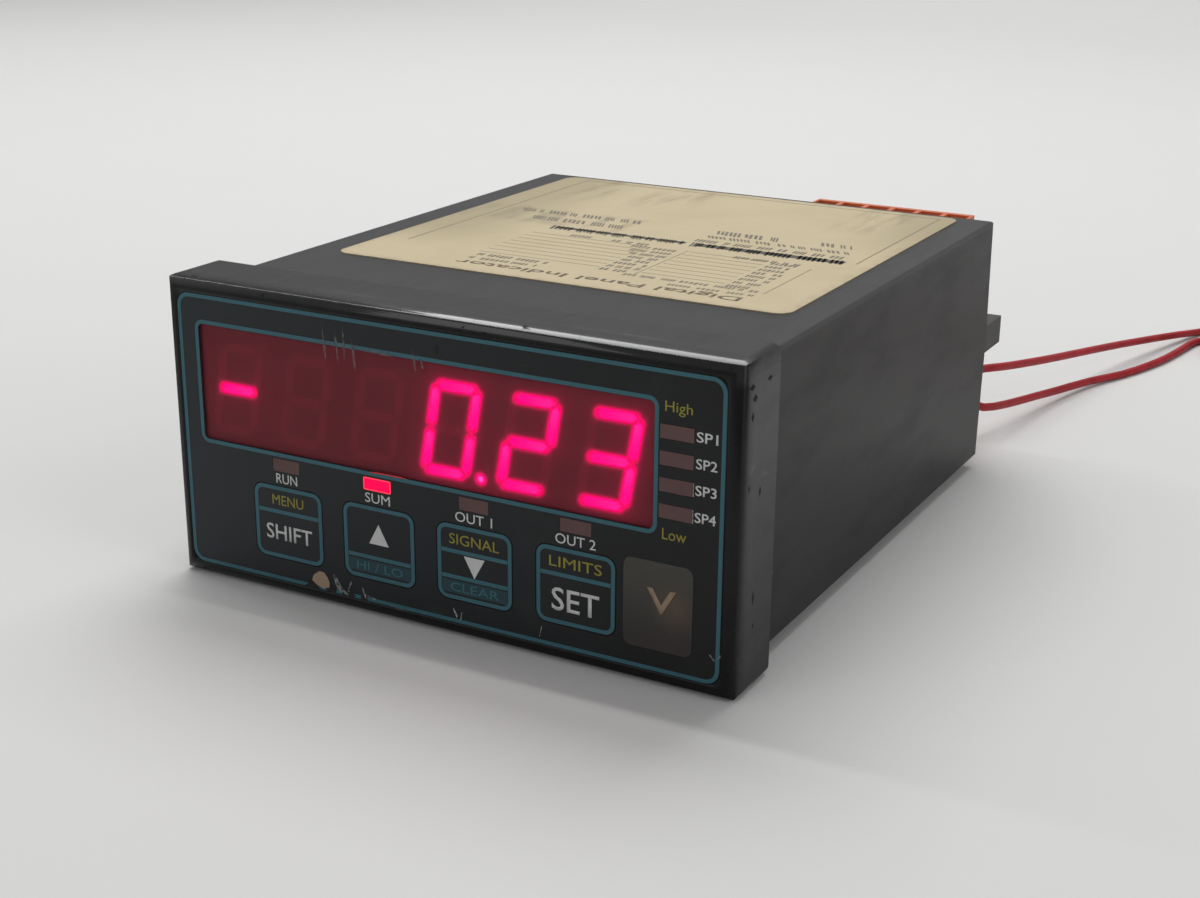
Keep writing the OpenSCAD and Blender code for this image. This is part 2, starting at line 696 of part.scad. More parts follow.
// an open-mouthed header; its pins turn up or down at the back to reach their board
module header(count, step, right_x, z, w, h, board_z) in_place() {
    centre = right_x - count * step / 2;
    y0 = panel_y - header_len;
    difference() {
        block(centre, z, w, h, y0, header_len);
        block(centre, z, w - 2 * shroud, h - 2 * shroud, y0 + header_back_wall, header_len);
    }
    poles(count, step, right_x) {
        block(0, z, pin_w, pin_w, y0 - pin_tail, pin_tail + header_back_wall + pin_reach);
        translate([-pin_w / 2, y0 - pin_tail, min(z, board_z)]) cube([pin_w, pin_w, abs(board_z - z)]);
    }
}

// a plug's nose, with a socket for each pin
module nose(count, step, right_x, z, w, h) difference() {
    block(right_x - count * step / 2, z, w, h, nose_y, nose_len + bite);
    poles(count, step, right_x) block(0, z, pin_w + easy, pin_w + easy, nose_y - bite, bite + pin_reach);
}

// a plug with a screw clamp over each wire entry, and ribs between its poles on top
module clamp_plug(count, right_x, z) in_place() {
    w = count * pitch;
    nose(count, pitch, right_x, z, w - 2 * nose_side, nose_h);
    difference() {
        block(right_x - w / 2, z, w, plug_h, shoulder_y, plug_out);
        poles(count, pitch, right_x) translate([0, 0, z]) {
            block(0, 0, 3.2, 3.8, shoulder_y + plug_out - funnel_len, funnel_len + bite);
            block(0, plug_h / 2 - well_depth + bite, pitch - rib_w, 2 * bite, shoulder_y + bite, plug_out - 1.3 - bite);
            translate([0, clamp_y, clamp_floor]) cylinder(plug_h, r = clamp_r + 0.2);
        }
    }
}
module clamp_screws(count, right_x, z) in_place() poles(count, pitch, right_x)
    translate([0, clamp_y, z + clamp_floor]) difference() {
        cylinder(plug_h / 2 - clamp_floor - well_depth - 0.3, r = clamp_r);
        translate([-plug_h / 2, -0.3, plug_h / 2 - clamp_floor - well_depth - 1]) cube([plug_h, 0.6, bite]);
    }

module signal_plug() color("#1e1e20") in_place() {
    w = signal_poles * signal_pitch + 2 * signal_lug;
    nose(signal_poles, signal_pitch, signal_row_x, signal_plug_z, signal_nose_w, signal_nose_h);
    difference() {
        block(signal_right_x - w / 2, signal_plug_z, w, signal_plug_h, shoulder_y, signal_plug_out);
        poles(signal_poles, signal_pitch, signal_row_x) translate([0, 0, signal_plug_z]) {
            block(0, -0.3, 2.1, 2.4, shoulder_y + signal_plug_out - funnel_len, funnel_len + bite);
            block(0, signal_plug_h / 2 + bite - 0.5, signal_pitch - 0.8, 2 * bite, shoulder_y + 5, signal_plug_out);
        }
        for (x = [signal_right_x - signal_lug / 2, signal_right_x - w + signal_lug / 2])
            block(x, signal_plug_z, signal_lug - 0.9, signal_plug_h - 1.6,
                shoulder_y + signal_plug_out - 3, 3 + bite);
    }
}

// ---------------------------------------------------------------- rear panel

module header_mouth(centre, z, w, h) block(centre, z, w - 2 * shroud + slip, h - 2 * shroud + slip,
    panel_y - bite, panel_t + 2 * bite);

module rear_panel() color("#232427") in_place() difference() {
    block(0, 0, cavity_w - 0.3, cavity_h - 0.3, panel_y, panel_t);
    header_mouth(plug_right_x - relay_poles * pitch / 2, relay_plug_z, relay_header_w, header_h);
    header_mouth(plug_right_x - supply_poles * pitch / 2, supply_plug_z, supply_header_w, header_h);
    header_mouth(signal_row_x - signal_nose_w / 2, signal_plug_z, signal_header_w, signal_header_h);
    screw_places() translate([0, rear_y + bite, 0]) rotate([90, 0, 0]) cylinder(panel_t + 2 * bite, r = screw_r + 0.3);
    // grooved outlines of the unused knock-outs
    knock_out_w = 26;
    for (z = [relay_plug_z, supply_plug_z]) translate([8.6 + knock_out_w / 2 - cavity_w / 2, 0, z]) difference() {
        block(0, 0, knock_out_w, header_h - 1.6, rear_y - 0.5, bite);
        block(0, 0, knock_out_w - 1.2, header_h - 2.8, 0, rear_y + bite);
    }
}

module rear_screws() color("#b9bcc0") in_place() screw_places() translate([0, rear_y + screw_head_t, 0])
    rotate([90, 0, 0]) difference() {
        union() {
            cylinder(screw_head_t, r = screw_head_r);
            cylinder(screw_head_t + screw_len, r = screw_r - 0.05);
        }
        for (turn = [0, 90]) rotate(turn) translate([-1.3, -0.3, -bite]) cube([2.6, 0.6, bite + 0.8]);
    }

// ---------------------------------------------------------------- label

module top_label() color("#cbbf96") in_place()
    translate([0, rear_y - label_rear - label_len / 2, sleeve_h / 2])
        linear_extrude(label_t) rounded_rect(label_w, label_len, label_r);

// ---------------------------------------------------------------- supply wires

function spline(a, b, c, d, t) = 0.5 * (2 * b + (c - a) * t + (2 * a - 5 * b + 4 * c - d) * t * t
    + (3 * b - a - 3 * c + d) * t * t * t);
function smooth_route(p, steps) = let (n = len(p)) concat(
    [for (i = [0 : n - 2], k = [0 : steps - 1])
        spline(p[max(i - 1, 0)], p[i], p[i + 1], p[min(i + 2, n - 1)], k / steps)], [p[n - 1]]);
function unit(v) = v / norm(v);
function heading(p, i) = unit(p[min(i + 1, len(p) - 1)] - p[max(i - 1, 0)]);
function wire_ring(p, i) = let (t = heading(p, i), s = unit(cross(t, [0, 0, 1])), u = cross(s, t))
    [for (k = [0 : wire_sides - 1]) let (a = 360 * k / wire_sides)
        p[i] + (s * cos(a) + u * sin(a)) * wire_d / 2];

module supply_wire(route) color("#7d1a1c") {
    p = smooth_route(route, wire_steps);
    n = len(p);
    points = [for (i = [0 : n - 1]) each wire_ring(p, i)];
    sides = [for (i = [0 : n - 2], k = [0 : wire_sides - 1]) let (m = (k + 1) % wire_sides)
        [i * wire_sides + k, i * wire_sides + m, (i + 1) * wire_sides + m, (i + 1) * wire_sides + k]];
    first = [for (k = [wire_sides - 1 : -1 : 0]) k];
    last = [for (k = [0 : wire_sides - 1]) (n - 1) * wire_sides + k];
    polyhedron(points, concat([first], sides, [last]));
}

module wire_coil(centre) color("#7d1a1c") translate([centre[0], centre[1], 0]) rotate_extrude()
    translate([coil_r - coil_across * wire_d / 2, 0]) square([coil_across * wire_d, coil_layers * wire_d]);

// ---------------------------------------------------------------- the nodes

case();
front_overlay();
display_window();
indicator_windows();
units_window();
units_card();
display_carrier();
digit(0);  // digit_1
digit(1);  // digit_2
digit(2);  // digit_3
digit(3);  // digit_4
digit(4);  // digit_5
digit(5);  // digit_6
color("#ff1a5e") segments(true);  // segments_lit
color("#b08a86") segments(false);  // segments_dark
color("#c9b9b0") status_led(0);  // status_led_1
color("#ff2a4a") status_led(1);  // status_led_2
color("#c9b9b0") status_led(2);  // status_led_3
color("#c9b9b0") status_led(3);  // status_led_4
alarm_leds();
key(0);  // key_1
key(1);  // key_2
key(2);  // key_3
key(3);  // key_4
plunger(0);  // plunger_1
plunger(1);  // plunger_2
plunger(2);  // plunger_3
plunger(3);  // plunger_4
tact_switch(0);  // tact_switch_1
tact_switch(1);  // tact_switch_2
tact_switch(2);  // tact_switch_3
tact_switch(3);  // tact_switch_4
display_board();
color("#2f6b3a") level_board(power_board_top);  // power_board
color("#2f6b3a") level_board(signal_board_top);  // signal_board
board_links();
transformer();
relay(0);  // relay_1
relay(1);  // relay_2
relay(2);  // relay_3
relay(3);  // relay_4
filter_capacitors();
processor();
converter_chips();
color("#c8551f")  // relay_header
    header(relay_poles, pitch, plug_right_x, relay_plug_z, relay_header_w, header_h, signal_board_top);
color("#202022")  // signal_header
    header(signal_poles, signal_pitch, signal_row_x, signal_plug_z, signal_header_w,
        signal_header_h, signal_board_top - board_t);
color("#c8551f")  // supply_header
    header(supply_poles, pitch, plug_right_x, supply_plug_z, supply_header_w, header_h,
        power_board_top);
color("#d2601f") clamp_plug(relay_poles, plug_right_x, relay_plug_z);  // relay_plug
signal_plug();
color("#d2601f") clamp_plug(supply_poles, plug_right_x, supply_plug_z);  // supply_plug
color("#b9bcc0")  // relay_plug_screws
    clamp_screws(relay_poles, plug_right_x, relay_plug_z);
color("#b9bcc0")  // supply_plug_screws
    clamp_screws(supply_poles, plug_right_x, supply_plug_z);
rear_panel();
rear_screws();
top_label();
supply_wire(wire_1_route);  // supply_wire_1
supply_wire(wire_2_route);  // supply_wire_2
wire_coil(coil_1_centre);  // wire_coil_1
wire_coil(coil_2_centre);  // wire_coil_2
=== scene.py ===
"""Dresses a digital panel meter: film front, LED digits, keys, case, label and supply wires."""

import logging
import math
import random
from abc import ABC, abstractmethod
from dataclasses import dataclass, field
from enum import Enum

import bmesh
import bpy
from mathutils import Matrix, Vector


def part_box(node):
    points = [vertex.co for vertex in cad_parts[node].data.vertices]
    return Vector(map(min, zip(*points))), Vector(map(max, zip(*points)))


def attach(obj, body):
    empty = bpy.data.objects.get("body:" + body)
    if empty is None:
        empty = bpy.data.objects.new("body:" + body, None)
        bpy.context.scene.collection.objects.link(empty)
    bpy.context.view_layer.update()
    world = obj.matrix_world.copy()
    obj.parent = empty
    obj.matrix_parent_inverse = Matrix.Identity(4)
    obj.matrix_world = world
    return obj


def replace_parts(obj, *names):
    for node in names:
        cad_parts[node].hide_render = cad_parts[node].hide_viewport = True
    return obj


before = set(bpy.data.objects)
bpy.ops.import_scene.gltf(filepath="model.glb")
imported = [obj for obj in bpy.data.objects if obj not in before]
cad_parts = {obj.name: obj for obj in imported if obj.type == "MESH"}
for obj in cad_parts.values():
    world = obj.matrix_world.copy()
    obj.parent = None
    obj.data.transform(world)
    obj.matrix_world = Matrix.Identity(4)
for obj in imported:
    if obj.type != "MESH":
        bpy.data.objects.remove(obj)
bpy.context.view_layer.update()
MM = 0.001
PER_METRE = 1000.0
BLACK = (0.0, 0.0, 0.0)
LOG = logging.getLogger("meter")


# ------------------------------------------------------------------ places

BEZEL_LOW, BEZEL_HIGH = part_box("case")
FRONT_Y = BEZEL_LOW.y
MIDDLE_Z = (BEZEL_LOW.z + BEZEL_HIGH.z) / 2


def at(x: float, y: float, z: float) -> Vector:
    """Turns a place on the meter into the frame's metres.

    Args:
        x: millimetres to the right of the front's centre.
        y: millimetres behind the bezel's face.
        z: millimetres above the case's centre line.

    Returns:
        The place in the frame.
    """
    return Vector((x * MM, FRONT_Y + y * MM, MIDDLE_Z + z * MM))


class Body(Enum):
    """The bodies that pieces ride on."""

    METER = "meter"
    KEY_1 = "push_key_1"
    KEY_2 = "push_key_2"
    KEY_3 = "push_key_3"
    KEY_4 = "push_key_4"
    RELAYS = "relay_terminal"
    SIGNAL = "signal_terminal"
    SUPPLY = "supply_terminal"


KEY_BODIES = [Body.KEY_1, Body.KEY_2, Body.KEY_3, Body.KEY_4]


# ------------------------------------------------------------------ shader maths


class Sock:
    """An output socket that takes part in Python arithmetic."""

    def __init__(self, graph: "Graph", socket: bpy.types.NodeSocket) -> None:
        """Keeps the graph and the socket."""
        self.graph = graph
        self.socket = socket

    def _math(self, operation: str, *values: "Sock | float") -> "Sock":
        """Adds a Math node that works on the values."""
        return self.graph.node("ShaderNodeMath", {"operation": operation},
                               dict(enumerate(values)))

    def __add__(self, other: "Sock | float") -> "Sock":
        """Adds."""
        return self._math("ADD", self, other)

    __radd__ = __add__

    def __sub__(self, other: "Sock | float") -> "Sock":
        """Subtracts."""
        return self._math("SUBTRACT", self, other)

    def __rsub__(self, other: "Sock | float") -> "Sock":
        """Subtracts from the other."""
        return self._math("SUBTRACT", other, self)

    def __mul__(self, other: "Sock | float") -> "Sock":
        """Multiplies."""
        return self._math("MULTIPLY", self, other)

    __rmul__ = __mul__

    def __truediv__(self, other: "Sock | float") -> "Sock":
        """Divides."""
        return self._math("DIVIDE", self, other)

    def __rtruediv__(self, other: "Sock | float") -> "Sock":
        """Divides the other."""
        return self._math("DIVIDE", other, self)

    def __pow__(self, other: "Sock | float") -> "Sock":
        """Raises to a power."""
        return self._math("POWER", self, other)

    def __rpow__(self, other: "Sock | float") -> "Sock":
        """Raises the other to this power."""
        return self._math("POWER", other, self)

    def __lt__(self, other: "Sock | float") -> "Sock":
        """Gives 1 where this is less."""
        return self._math("LESS_THAN", self, other)

    def __gt__(self, other: "Sock | float") -> "Sock":
        """Gives 1 where this is greater."""
        return self._math("GREATER_THAN", self, other)

    def __abs__(self) -> "Sock":
        """Gives the size without the sign."""
        return self._math("ABSOLUTE", self)

    def clamp(self) -> "Sock":
        """Holds the value between 0 and 1."""
        return self.graph.node("ShaderNodeClamp", {}, {"Value": self})

    def fract(self) -> "Sock":
        """Gives what follows the whole number."""
        return self._math("FRACT", self)

    def step(self, low: float, high: float) -> "Sock":
        """Rises smoothly from 0 at low to 1 at high, or falls where high is the lower.

        Args:
            low: the value that gives 0.
            high: the value that gives 1.

        Returns:
            The smooth step.
        """
        ends = {"Value": self, "From Min": low, "From Max": high}
        if high < low:
            ends.update({"From Min": high, "From Max": low, "To Min": 1.0, "To Max": 0.0})
        return self.graph.node("ShaderNodeMapRange", {"interpolation_type": "SMOOTHSTEP"}, ends)


Value = "Sock | float | tuple[float, ...]"


class Graph:
    """A node tree, with one method that makes every node."""

    def __init__(self, tree: bpy.types.NodeTree) -> None:
        """Takes over a tree and empties it."""
        self.tree = tree
        self.tree.nodes.clear()

    def node(self, kind: str, settings: dict | None = None, inputs: dict | None = None,
             out: int | str = 0) -> "Sock | None":
        """Adds a node, sets it, fills its sockets and gives one output.

        Args:
            kind: the node's type.
            settings: its properties.
            inputs: values or links by socket name or number.
            out: the output to hand back.

        Returns:
            The output, wrapped, or nothing for a node that has none.
        """
        made = self.tree.nodes.new(kind)
        for key, value in (settings or {}).items():
            setattr(made, key, value)
        for key, value in (inputs or {}).items():
            if isinstance(value, Sock):
                self.tree.links.new(value.socket, made.inputs[key])
            else:
                made.inputs[key].default_value = value
        return Sock(self, made.outputs[out]) if made.outputs else None

    def place(self) -> Sock:
        """Gives the object coordinates."""
        return self.node("ShaderNodeTexCoord", out="Object")

    def axes(self) -> tuple[Sock, Sock, Sock]:
        """Gives x, y and z from at(), in millimetres.

        Returns:
            The three coordinates.
        """
        moved = self.node("ShaderNodeVectorMath", {"operation": "SUBTRACT"},
                          {0: self.place(), 1: at(0, 0, 0)})
        scaled = self.node("ShaderNodeVectorMath", {"operation": "SCALE"},
                           {0: moved, "Scale": PER_METRE})
        parts = [self.node("ShaderNodeSeparateXYZ", {}, {0: scaled}, out=i) for i in range(3)]
        return parts[0], parts[1], parts[2]

    def noise(self, size: float, detail: float = 2.0, rough: float = 0.5,
              stretch: tuple = (1, 1, 1)) -> Sock:
        """Gives cloudy noise around 0.5.

        Args:
            size: the size of one blotch in millimetres.
            detail: how many finer layers it has.
            rough: how strong the finer layers are.
            stretch: how much finer it is along each axis.

        Returns:
            The noise.
        """
        scaled = self.node("ShaderNodeMapping", {}, {"Vector": self.place(), "Scale": stretch})
        return self.node("ShaderNodeTexNoise", {}, {"Vector": scaled, "Scale": PER_METRE / size,
                                                     "Detail": detail, "Roughness": rough})

    def cells(self, size: float) -> Sock:
        """Gives the distance to the nearest of scattered points, one every size millimetres."""
        return self.node("ShaderNodeTexVoronoi", {},
                         {"Vector": self.place(), "Scale": PER_METRE / size})

    def attribute(self, key: str) -> Sock:
        """Gives a value that the mesh carries at its vertices."""
        return self.node("ShaderNodeAttribute", {"attribute_name": key}, out="Fac")

    def mix(self, factor: "Sock | float", first: Value, second: Value) -> Sock:
        """Mixes two colours.

        Args:
            factor: 0 gives the first and 1 the second.
            first: a colour or its socket.
            second: a colour or its socket.

        Returns:
            The mixed colour.
        """
        ends = {6: self.rgba(first), 7: self.rgba(second), 0: factor}
        return self.node("ShaderNodeMix", {"data_type": "RGBA", "clamp_factor": True}, ends, out=2)

    @staticmethod
    def rgba(colour: Value) -> Value:
        """Adds an alpha to a plain colour."""
        return colour if isinstance(colour, Sock) else (*colour[:3], 1.0)

    def bump(self, height: Sock, depth: float, strength: float = 0.5) -> Sock:
        """Turns a height from 0 to 1 into a normal.

        Args:
            height: the height.
            depth: what a height of 1 measures, in millimetres.
            strength: how much of it shows.

        Returns:
            The normal.
        """
        return self.node("ShaderNodeBump", {},
                         {"Height": height, "Distance": depth * MM, "Strength": strength})


# ------------------------------------------------------------------ finishes


def darker(colour: tuple, share: float) -> tuple:
    """Gives a colour at a share of its light."""
    return tuple(c * share for c in colour)


class Finish(ABC):
    """A look, which becomes a Principled material."""

    @abstractmethod
    def inputs(self, g: Graph) -> dict:
        """Gives the shader's inputs.

        Args:
            g: the material's graph, which takes the nodes.

        Returns:
            Values or links by socket name.
        """

    def material(self, name: str) -> bpy.types.Material:
        """Builds the material.

        Args:
            name: the material's name.

        Returns:
            The material.
        """
        made = bpy.data.materials.new(name)
        made.use_nodes = True
        g = Graph(made.node_tree)
        filled = {k: g.rgba(v) if isinstance(v, tuple) else v for k, v in self.inputs(g).items()}
        shader = g.node("ShaderNodeBsdfPrincipled", {}, filled)
        g.node("ShaderNodeOutputMaterial", {}, {"Surface": shader})
        return made


@dataclass(frozen=True)
class CasePlastic(Finish):
    """Moulded black plastic: glossy round the film, worn along its edges, dust and painted light on
    top.
    """

    colour: tuple = (0.0035, 0.0035, 0.0038)
    dust_and_light_tone: tuple = (0.0395, 0.0395, 0.0405)
    worn: tuple = (0.15, 0.15, 0.15)
    bezel_depth: float = 11.4
    pit: tuple = (0.002, 0.002, 0.002)
    flank_x: float = 45.0
    nicks: tuple = (
        (5.0, -10.0, 0.4, 1.2), (5.3, -14.2, 0.3, 0.5), (6.0, 5.0, 0.35, 0.9), (2.4, 6.4, 0.3, 0.7),
        (3.4, 18.6, 0.8, 0.6), (2.4, 20.3, 0.9, 0.5), (8.0, 20.2, 0.9, 0.4), (2.8, 16.2, 0.5, 0.8))

    def _dust_and_painted_light(self, y: Sock, z: Sock) -> Sock:
        """Gives how much dust and painted light a place gets: on the bezel's flanks, lighter
        upwards, and on top faces.

        Args:
            y: the place behind the face.
            z: the place above the middle.

        Returns:
            The dust and painted light from 0 to 1.
        """
        bezel = y < self.bezel_depth
        top = z.step(21.0, 21.9)
        # painted light: the bezel's flanks grow lighter towards their top, over their dust
        flank = bezel * (1.0 - top) * (0.18 + (z + 24.0) * 0.027)
        # painted light and dust on the top faces, less on the bezel's top than on the sleeve's
        return (flank + top * (0.82 - bezel * 0.36)) * y.step(1.2, 2.4)

    def _nicks(self, x: Sock, y: Sock, z: Sock) -> Sock:
        """Marks the few deep nicks of the bezel's right flank.

        Args:
            x: the place across.
            y: the place behind the face.
            z: the place above the middle.

        Returns:
            1 in a nick and 0 elsewhere.
        """
        spots = ((abs(y - at_y) * (1 / w) + abs(z - at_z) * (1 / h)).step(1.1, 0.8)
                 for at_y, at_z, w, h in self.nicks)
        return sum(spots).clamp() * (x > self.flank_x)

    def inputs(self, g: Graph) -> dict:
        """Lays dust and painted light on tops and flanks, rubbed edges, dents and nicks on black
        plastic.

        Args:
            g: the material's graph.

        Returns:
            The shader's values and links by socket name.
        """
        x, y, z = g.axes()
        bezel = y < self.bezel_depth
        gloss = y.step(2.2, 1.3)
        rear = abs(y - self.bezel_depth + 0.15).step(0.35, 0.1)
        clouds = g.noise(14.0, 4.0, 0.6)
        wipes = g.noise(6.0, 3.0, 0.6, (1.0, 0.3, 1.0)).step(0.4, 0.8)
        motes = g.noise(0.8, 3.0, 0.7).step(0.6, 0.8) * clouds.step(0.4, 0.7)
        # dust and painted light together, with real dust clouds, wipes and motes on them
        dust = self._dust_and_painted_light(y, z) * (0.86 + clouds * 0.28) + wipes * 0.06
        dust = dust + motes * 0.15 * (1.0 - gloss)
        colour = g.mix(dust.clamp(), self.colour, self.dust_and_light_tone)
        chips = g.noise(0.9, 3.0, 0.6).step(0.63, 0.7)
        colour = g.mix(chips * rear * 0.8, colour, self.worn)
        dents = g.noise(1.7, 3.0, 0.6).step(0.64, 0.7) * y.step(2.6, 1.6) * abs(z).step(22.0, 22.6)
        pits = dents + self._nicks(x, y, z)
        colour = g.mix(pits.clamp(), colour, self.pit)
        scratches = g.noise(2.0, 1.0, 0.4, (0.05, 1.0, 1.0)).step(0.69, 0.72)
        scratches = scratches * clouds.step(0.5, 0.6)
        colour = g.mix(scratches * 0.3 * bezel * y.step(2.6, 3.0), colour, self.worn)
        rough = 0.46 + wipes * 0.08 + motes * 0.1 - bezel * 0.05 - gloss * 0.16 + pits * 0.4
        grain = g.noise(0.3, 2.0, 0.6) * (1.0 - bezel * 0.7) - dents * 1.6
        edge = y.step(0.05, 0.3) * gloss * z.step(20.0, 22.0)
        return {"Base Color": colour, "Roughness": rough, "Normal": g.bump(grain, 0.015),
                "Specular IOR Level": 0.24, "Coat Weight": (edge - dents * 0.8).clamp() * 0.8,
                "Coat Roughness": 0.07}


@dataclass(frozen=True)
class Moulded(Finish):
    """A plain moulded plastic with faint clouds, fine grain and dust."""

    colour: tuple
    rough: float = 0.45
    grain: float = 0.3
    dust: float = 0.15
    speck: tuple = (0.2, 0.19, 0.17)

    def inputs(self, g: Graph) -> dict:
        """Lays clouds and specks of dust on plain plastic.

        Args:
            g: the material's graph.

        Returns:
            The shader's values and links by socket name.
        """
        clouds = g.noise(6.0, 4.0, 0.6)
        specks = g.noise(0.5, 3.0, 0.7).step(0.6, 0.75) * self.dust
        colour = g.mix(clouds.step(0.3, 0.75), self.colour, darker(self.colour, 0.78))
        colour = g.mix(specks, colour, self.speck)
        return {"Base Color": colour, "Roughness": self.rough + clouds * 0.12,
                "Normal": g.bump(g.noise(self.grain, 2.0), 0.012)}


@dataclass(frozen=True)
class FilmFace(Finish):
    """Dark printed film with a fine even texture, cloudy handling marks and a painted reflection to
    the left.
    """

    colour: tuple = (0.0046, 0.0050, 0.0058)
    # the lighter tone towards the left is a painted reflection
    left: tuple = (0.0125, 0.0165, 0.0190)
    handled: tuple = (0.024, 0.027, 0.029)
    rubbed: tuple = (0.07, 0.07, 0.07)

    def inputs(self, g: Graph) -> dict:
        """Lays a painted reflection towards the left, handling marks and rubbed ends on the film.

        Args:
            g: the material's graph.

        Returns:
            The shader's values and links by socket name.
        """
        x, _, z = g.axes()
        clouds = g.noise(11.0, 4.0, 0.65)
        # painted reflection: the film lightens towards the left
        colour = g.mix((x * -0.011 + 0.5).clamp(), self.colour, self.left)
        colour = g.mix(clouds.step(0.45, 0.8) * 0.3, colour, self.handled)
        ends = (z.step(-15.0, -22.0) + z.step(17.0, 21.5)).clamp()
        rub = g.noise(2.4, 3.0, 0.7, (0.4, 1.0, 1.0)).step(0.6, 0.8) * ends
        colour = g.mix(rub * 0.25, colour, self.rubbed)
        return {"Base Color": colour, "Roughness": 0.4 + clouds * 0.1 + rub * 0.2,
                "Normal": g.bump(g.noise(0.4, 1.0), 0.004), "Specular IOR Level": 0.3}


@dataclass(frozen=True)
class Ink(Finish):
    """Screen-printed ink or a smear, patchy where worn and see-through where its cover is thin."""

    colour: tuple
    wear: float = 0.3
    under: tuple = (0.012, 0.014, 0.017)
    cover: float = 1.0

    def inputs(self, g: Graph) -> dict:
        """Wears the ink in patches and thins it where asked.

        Args:
            g: the material's graph.

        Returns:
            The shader's values and links by socket name.
        """
        patches = g.noise(0.8, 4.0, 0.7).step(0.5, 0.8) * self.wear
        colour = g.mix(patches, self.colour, self.under)
        colour = g.mix(g.noise(7.0).step(0.4, 0.7) * 0.2, colour, darker(self.colour, 0.72))
        filled = {"Base Color": colour, "Roughness": 0.5 + patches * 0.2,
                  "Specular IOR Level": 0.34, "Normal": g.bump(g.noise(0.15, 1.0), 0.003)}
        if self.cover < 1.0:
            filled["Alpha"] = (g.noise(0.7, 3.0, 0.6).step(0.3, 0.7) * self.cover).clamp()
        return filled


@dataclass(frozen=True)
class Pane(Finish):
    """Tinted filter sheet, smooth and part see-through."""

    colour: tuple
    cloud: tuple
    alpha: float = 0.9

    def inputs(self, g: Graph) -> dict:
        """Clouds and wipes the sheet.

        Args:
            g: the material's graph.

        Returns:
            The shader's values and links by socket name.
        """
        clouds = g.noise(13.0, 3.0, 0.5)
        wipes = g.noise(7.0, 3.0, 0.6, (0.3, 1.0, 1.4)).step(0.45, 0.8)
        colour = g.mix(clouds.step(0.3, 0.75) * 0.6 + wipes * 0.25, self.colour, self.cloud)
        return {"Base Color": colour, "Roughness": 0.34 + wipes * 0.1, "Alpha": self.alpha,
                "Normal": g.bump(g.noise(5.0, 2.0), 0.02, 0.4), "Specular IOR Level": 0.25}


@dataclass(frozen=True)
class Backing(Finish):
    """What shows behind the red pane: unlit figures, and light scattered round the lit ones."""

    colour: tuple = (0.200, 0.033, 0.043)
    figures: tuple = (0.245, 0.036, 0.047)
    clouded: tuple = (0.165, 0.029, 0.037)
    glow: tuple = (1.05, 0.003, 0.13)

    def inputs(self, g: Graph) -> dict:
        """Shows the faint figures and the scattered light, clear over the lit ones.

        Args:
            g: the material's graph.

        Returns:
            The shader's values and links by socket name.
        """
        halo, clear, ghost = (g.attribute(key).clamp() for key in ("halo", "clear", "ghost"))
        clouds = g.noise(9.0, 3.0, 0.6)
        colour = g.mix(clouds.step(0.3, 0.75) * 0.35, self.colour, self.clouded)
        colour = g.mix(ghost * (0.5 + clouds), colour, self.figures)
        return {"Base Color": g.mix(halo, colour, BLACK), "Roughness": 0.7,
                "Specular IOR Level": 0.1, "Alpha": 1.0 - clear.step(0.3, 0.7),
                "Emission Color": g.mix(halo, BLACK, self.glow), "Emission Strength": 1.0}


@dataclass(frozen=True)
class LitPlastic(Finish):
    """A light-emitting lens: dull at its rim and brightest near one end."""

    edge: tuple = (0.75, 0.0, 0.075)
    body: tuple = (1.0, 0.0, 0.175)
    core: tuple = (1.0, 0.07, 0.45)
    strength: float = 1.55
    unlit: tuple = (0.05, 0.0, 0.005)

    def inputs(self, g: Graph) -> dict:
        """Grades the light from the rim to the core.

        Args:
            g: the material's graph.

        Returns:
            The shader's values and links by socket name.
        """
        middle, patchy = g.attribute("core"), g.attribute("spot")
        colour = g.mix(middle.step(0.0, 0.3), self.edge, self.body)
        bright = middle.step(0.3, 0.75) * patchy.step(0.25, 0.85)
        colour = g.mix(bright.clamp(), colour, self.core)
        return {"Base Color": self.unlit, "Roughness": 0.5, "Specular IOR Level": 0.1,
                "Emission Color": colour, "Emission Strength": self.strength}


@dataclass(frozen=True)
class UnitsCard(Finish):
    """Brown grey legend card or its smoked window, darker at the foot, stained round the letter."""

    top: tuple = (0.070, 0.067, 0.059)
    foot: tuple = (0.045, 0.039, 0.036)
    alpha: float = 1.0
    stain: tuple = (0.16, 0.10, 0.06)
    letter_at: tuple = (38.5, -11.8)

    def inputs(self, g: Graph) -> dict:
        """Darkens the card's foot and stains it round the letter.

        Args:
            g: the material's graph.

        Returns:
            The shader's values and links by socket name.
        """
        x, _, z = g.axes()
        clouds = g.noise(3.5, 4.0, 0.6)
        colour = g.mix((z.step(-6.0, -18.0) + clouds * 0.4 - 0.2).clamp(), self.top, self.foot)
        away = ((x - self.letter_at[0]) ** 2 + (z - self.letter_at[1]) ** 2) ** 0.5
        colour = g.mix(away.step(4.2, 0.5) * 0.4, colour, self.stain)
        return {"Base Color": colour, "Roughness": 0.42 + clouds * 0.1, "Specular IOR Level": 0.25,
                "Alpha": self.alpha, "Normal": g.bump(g.noise(4.0, 2.0), 0.01)}


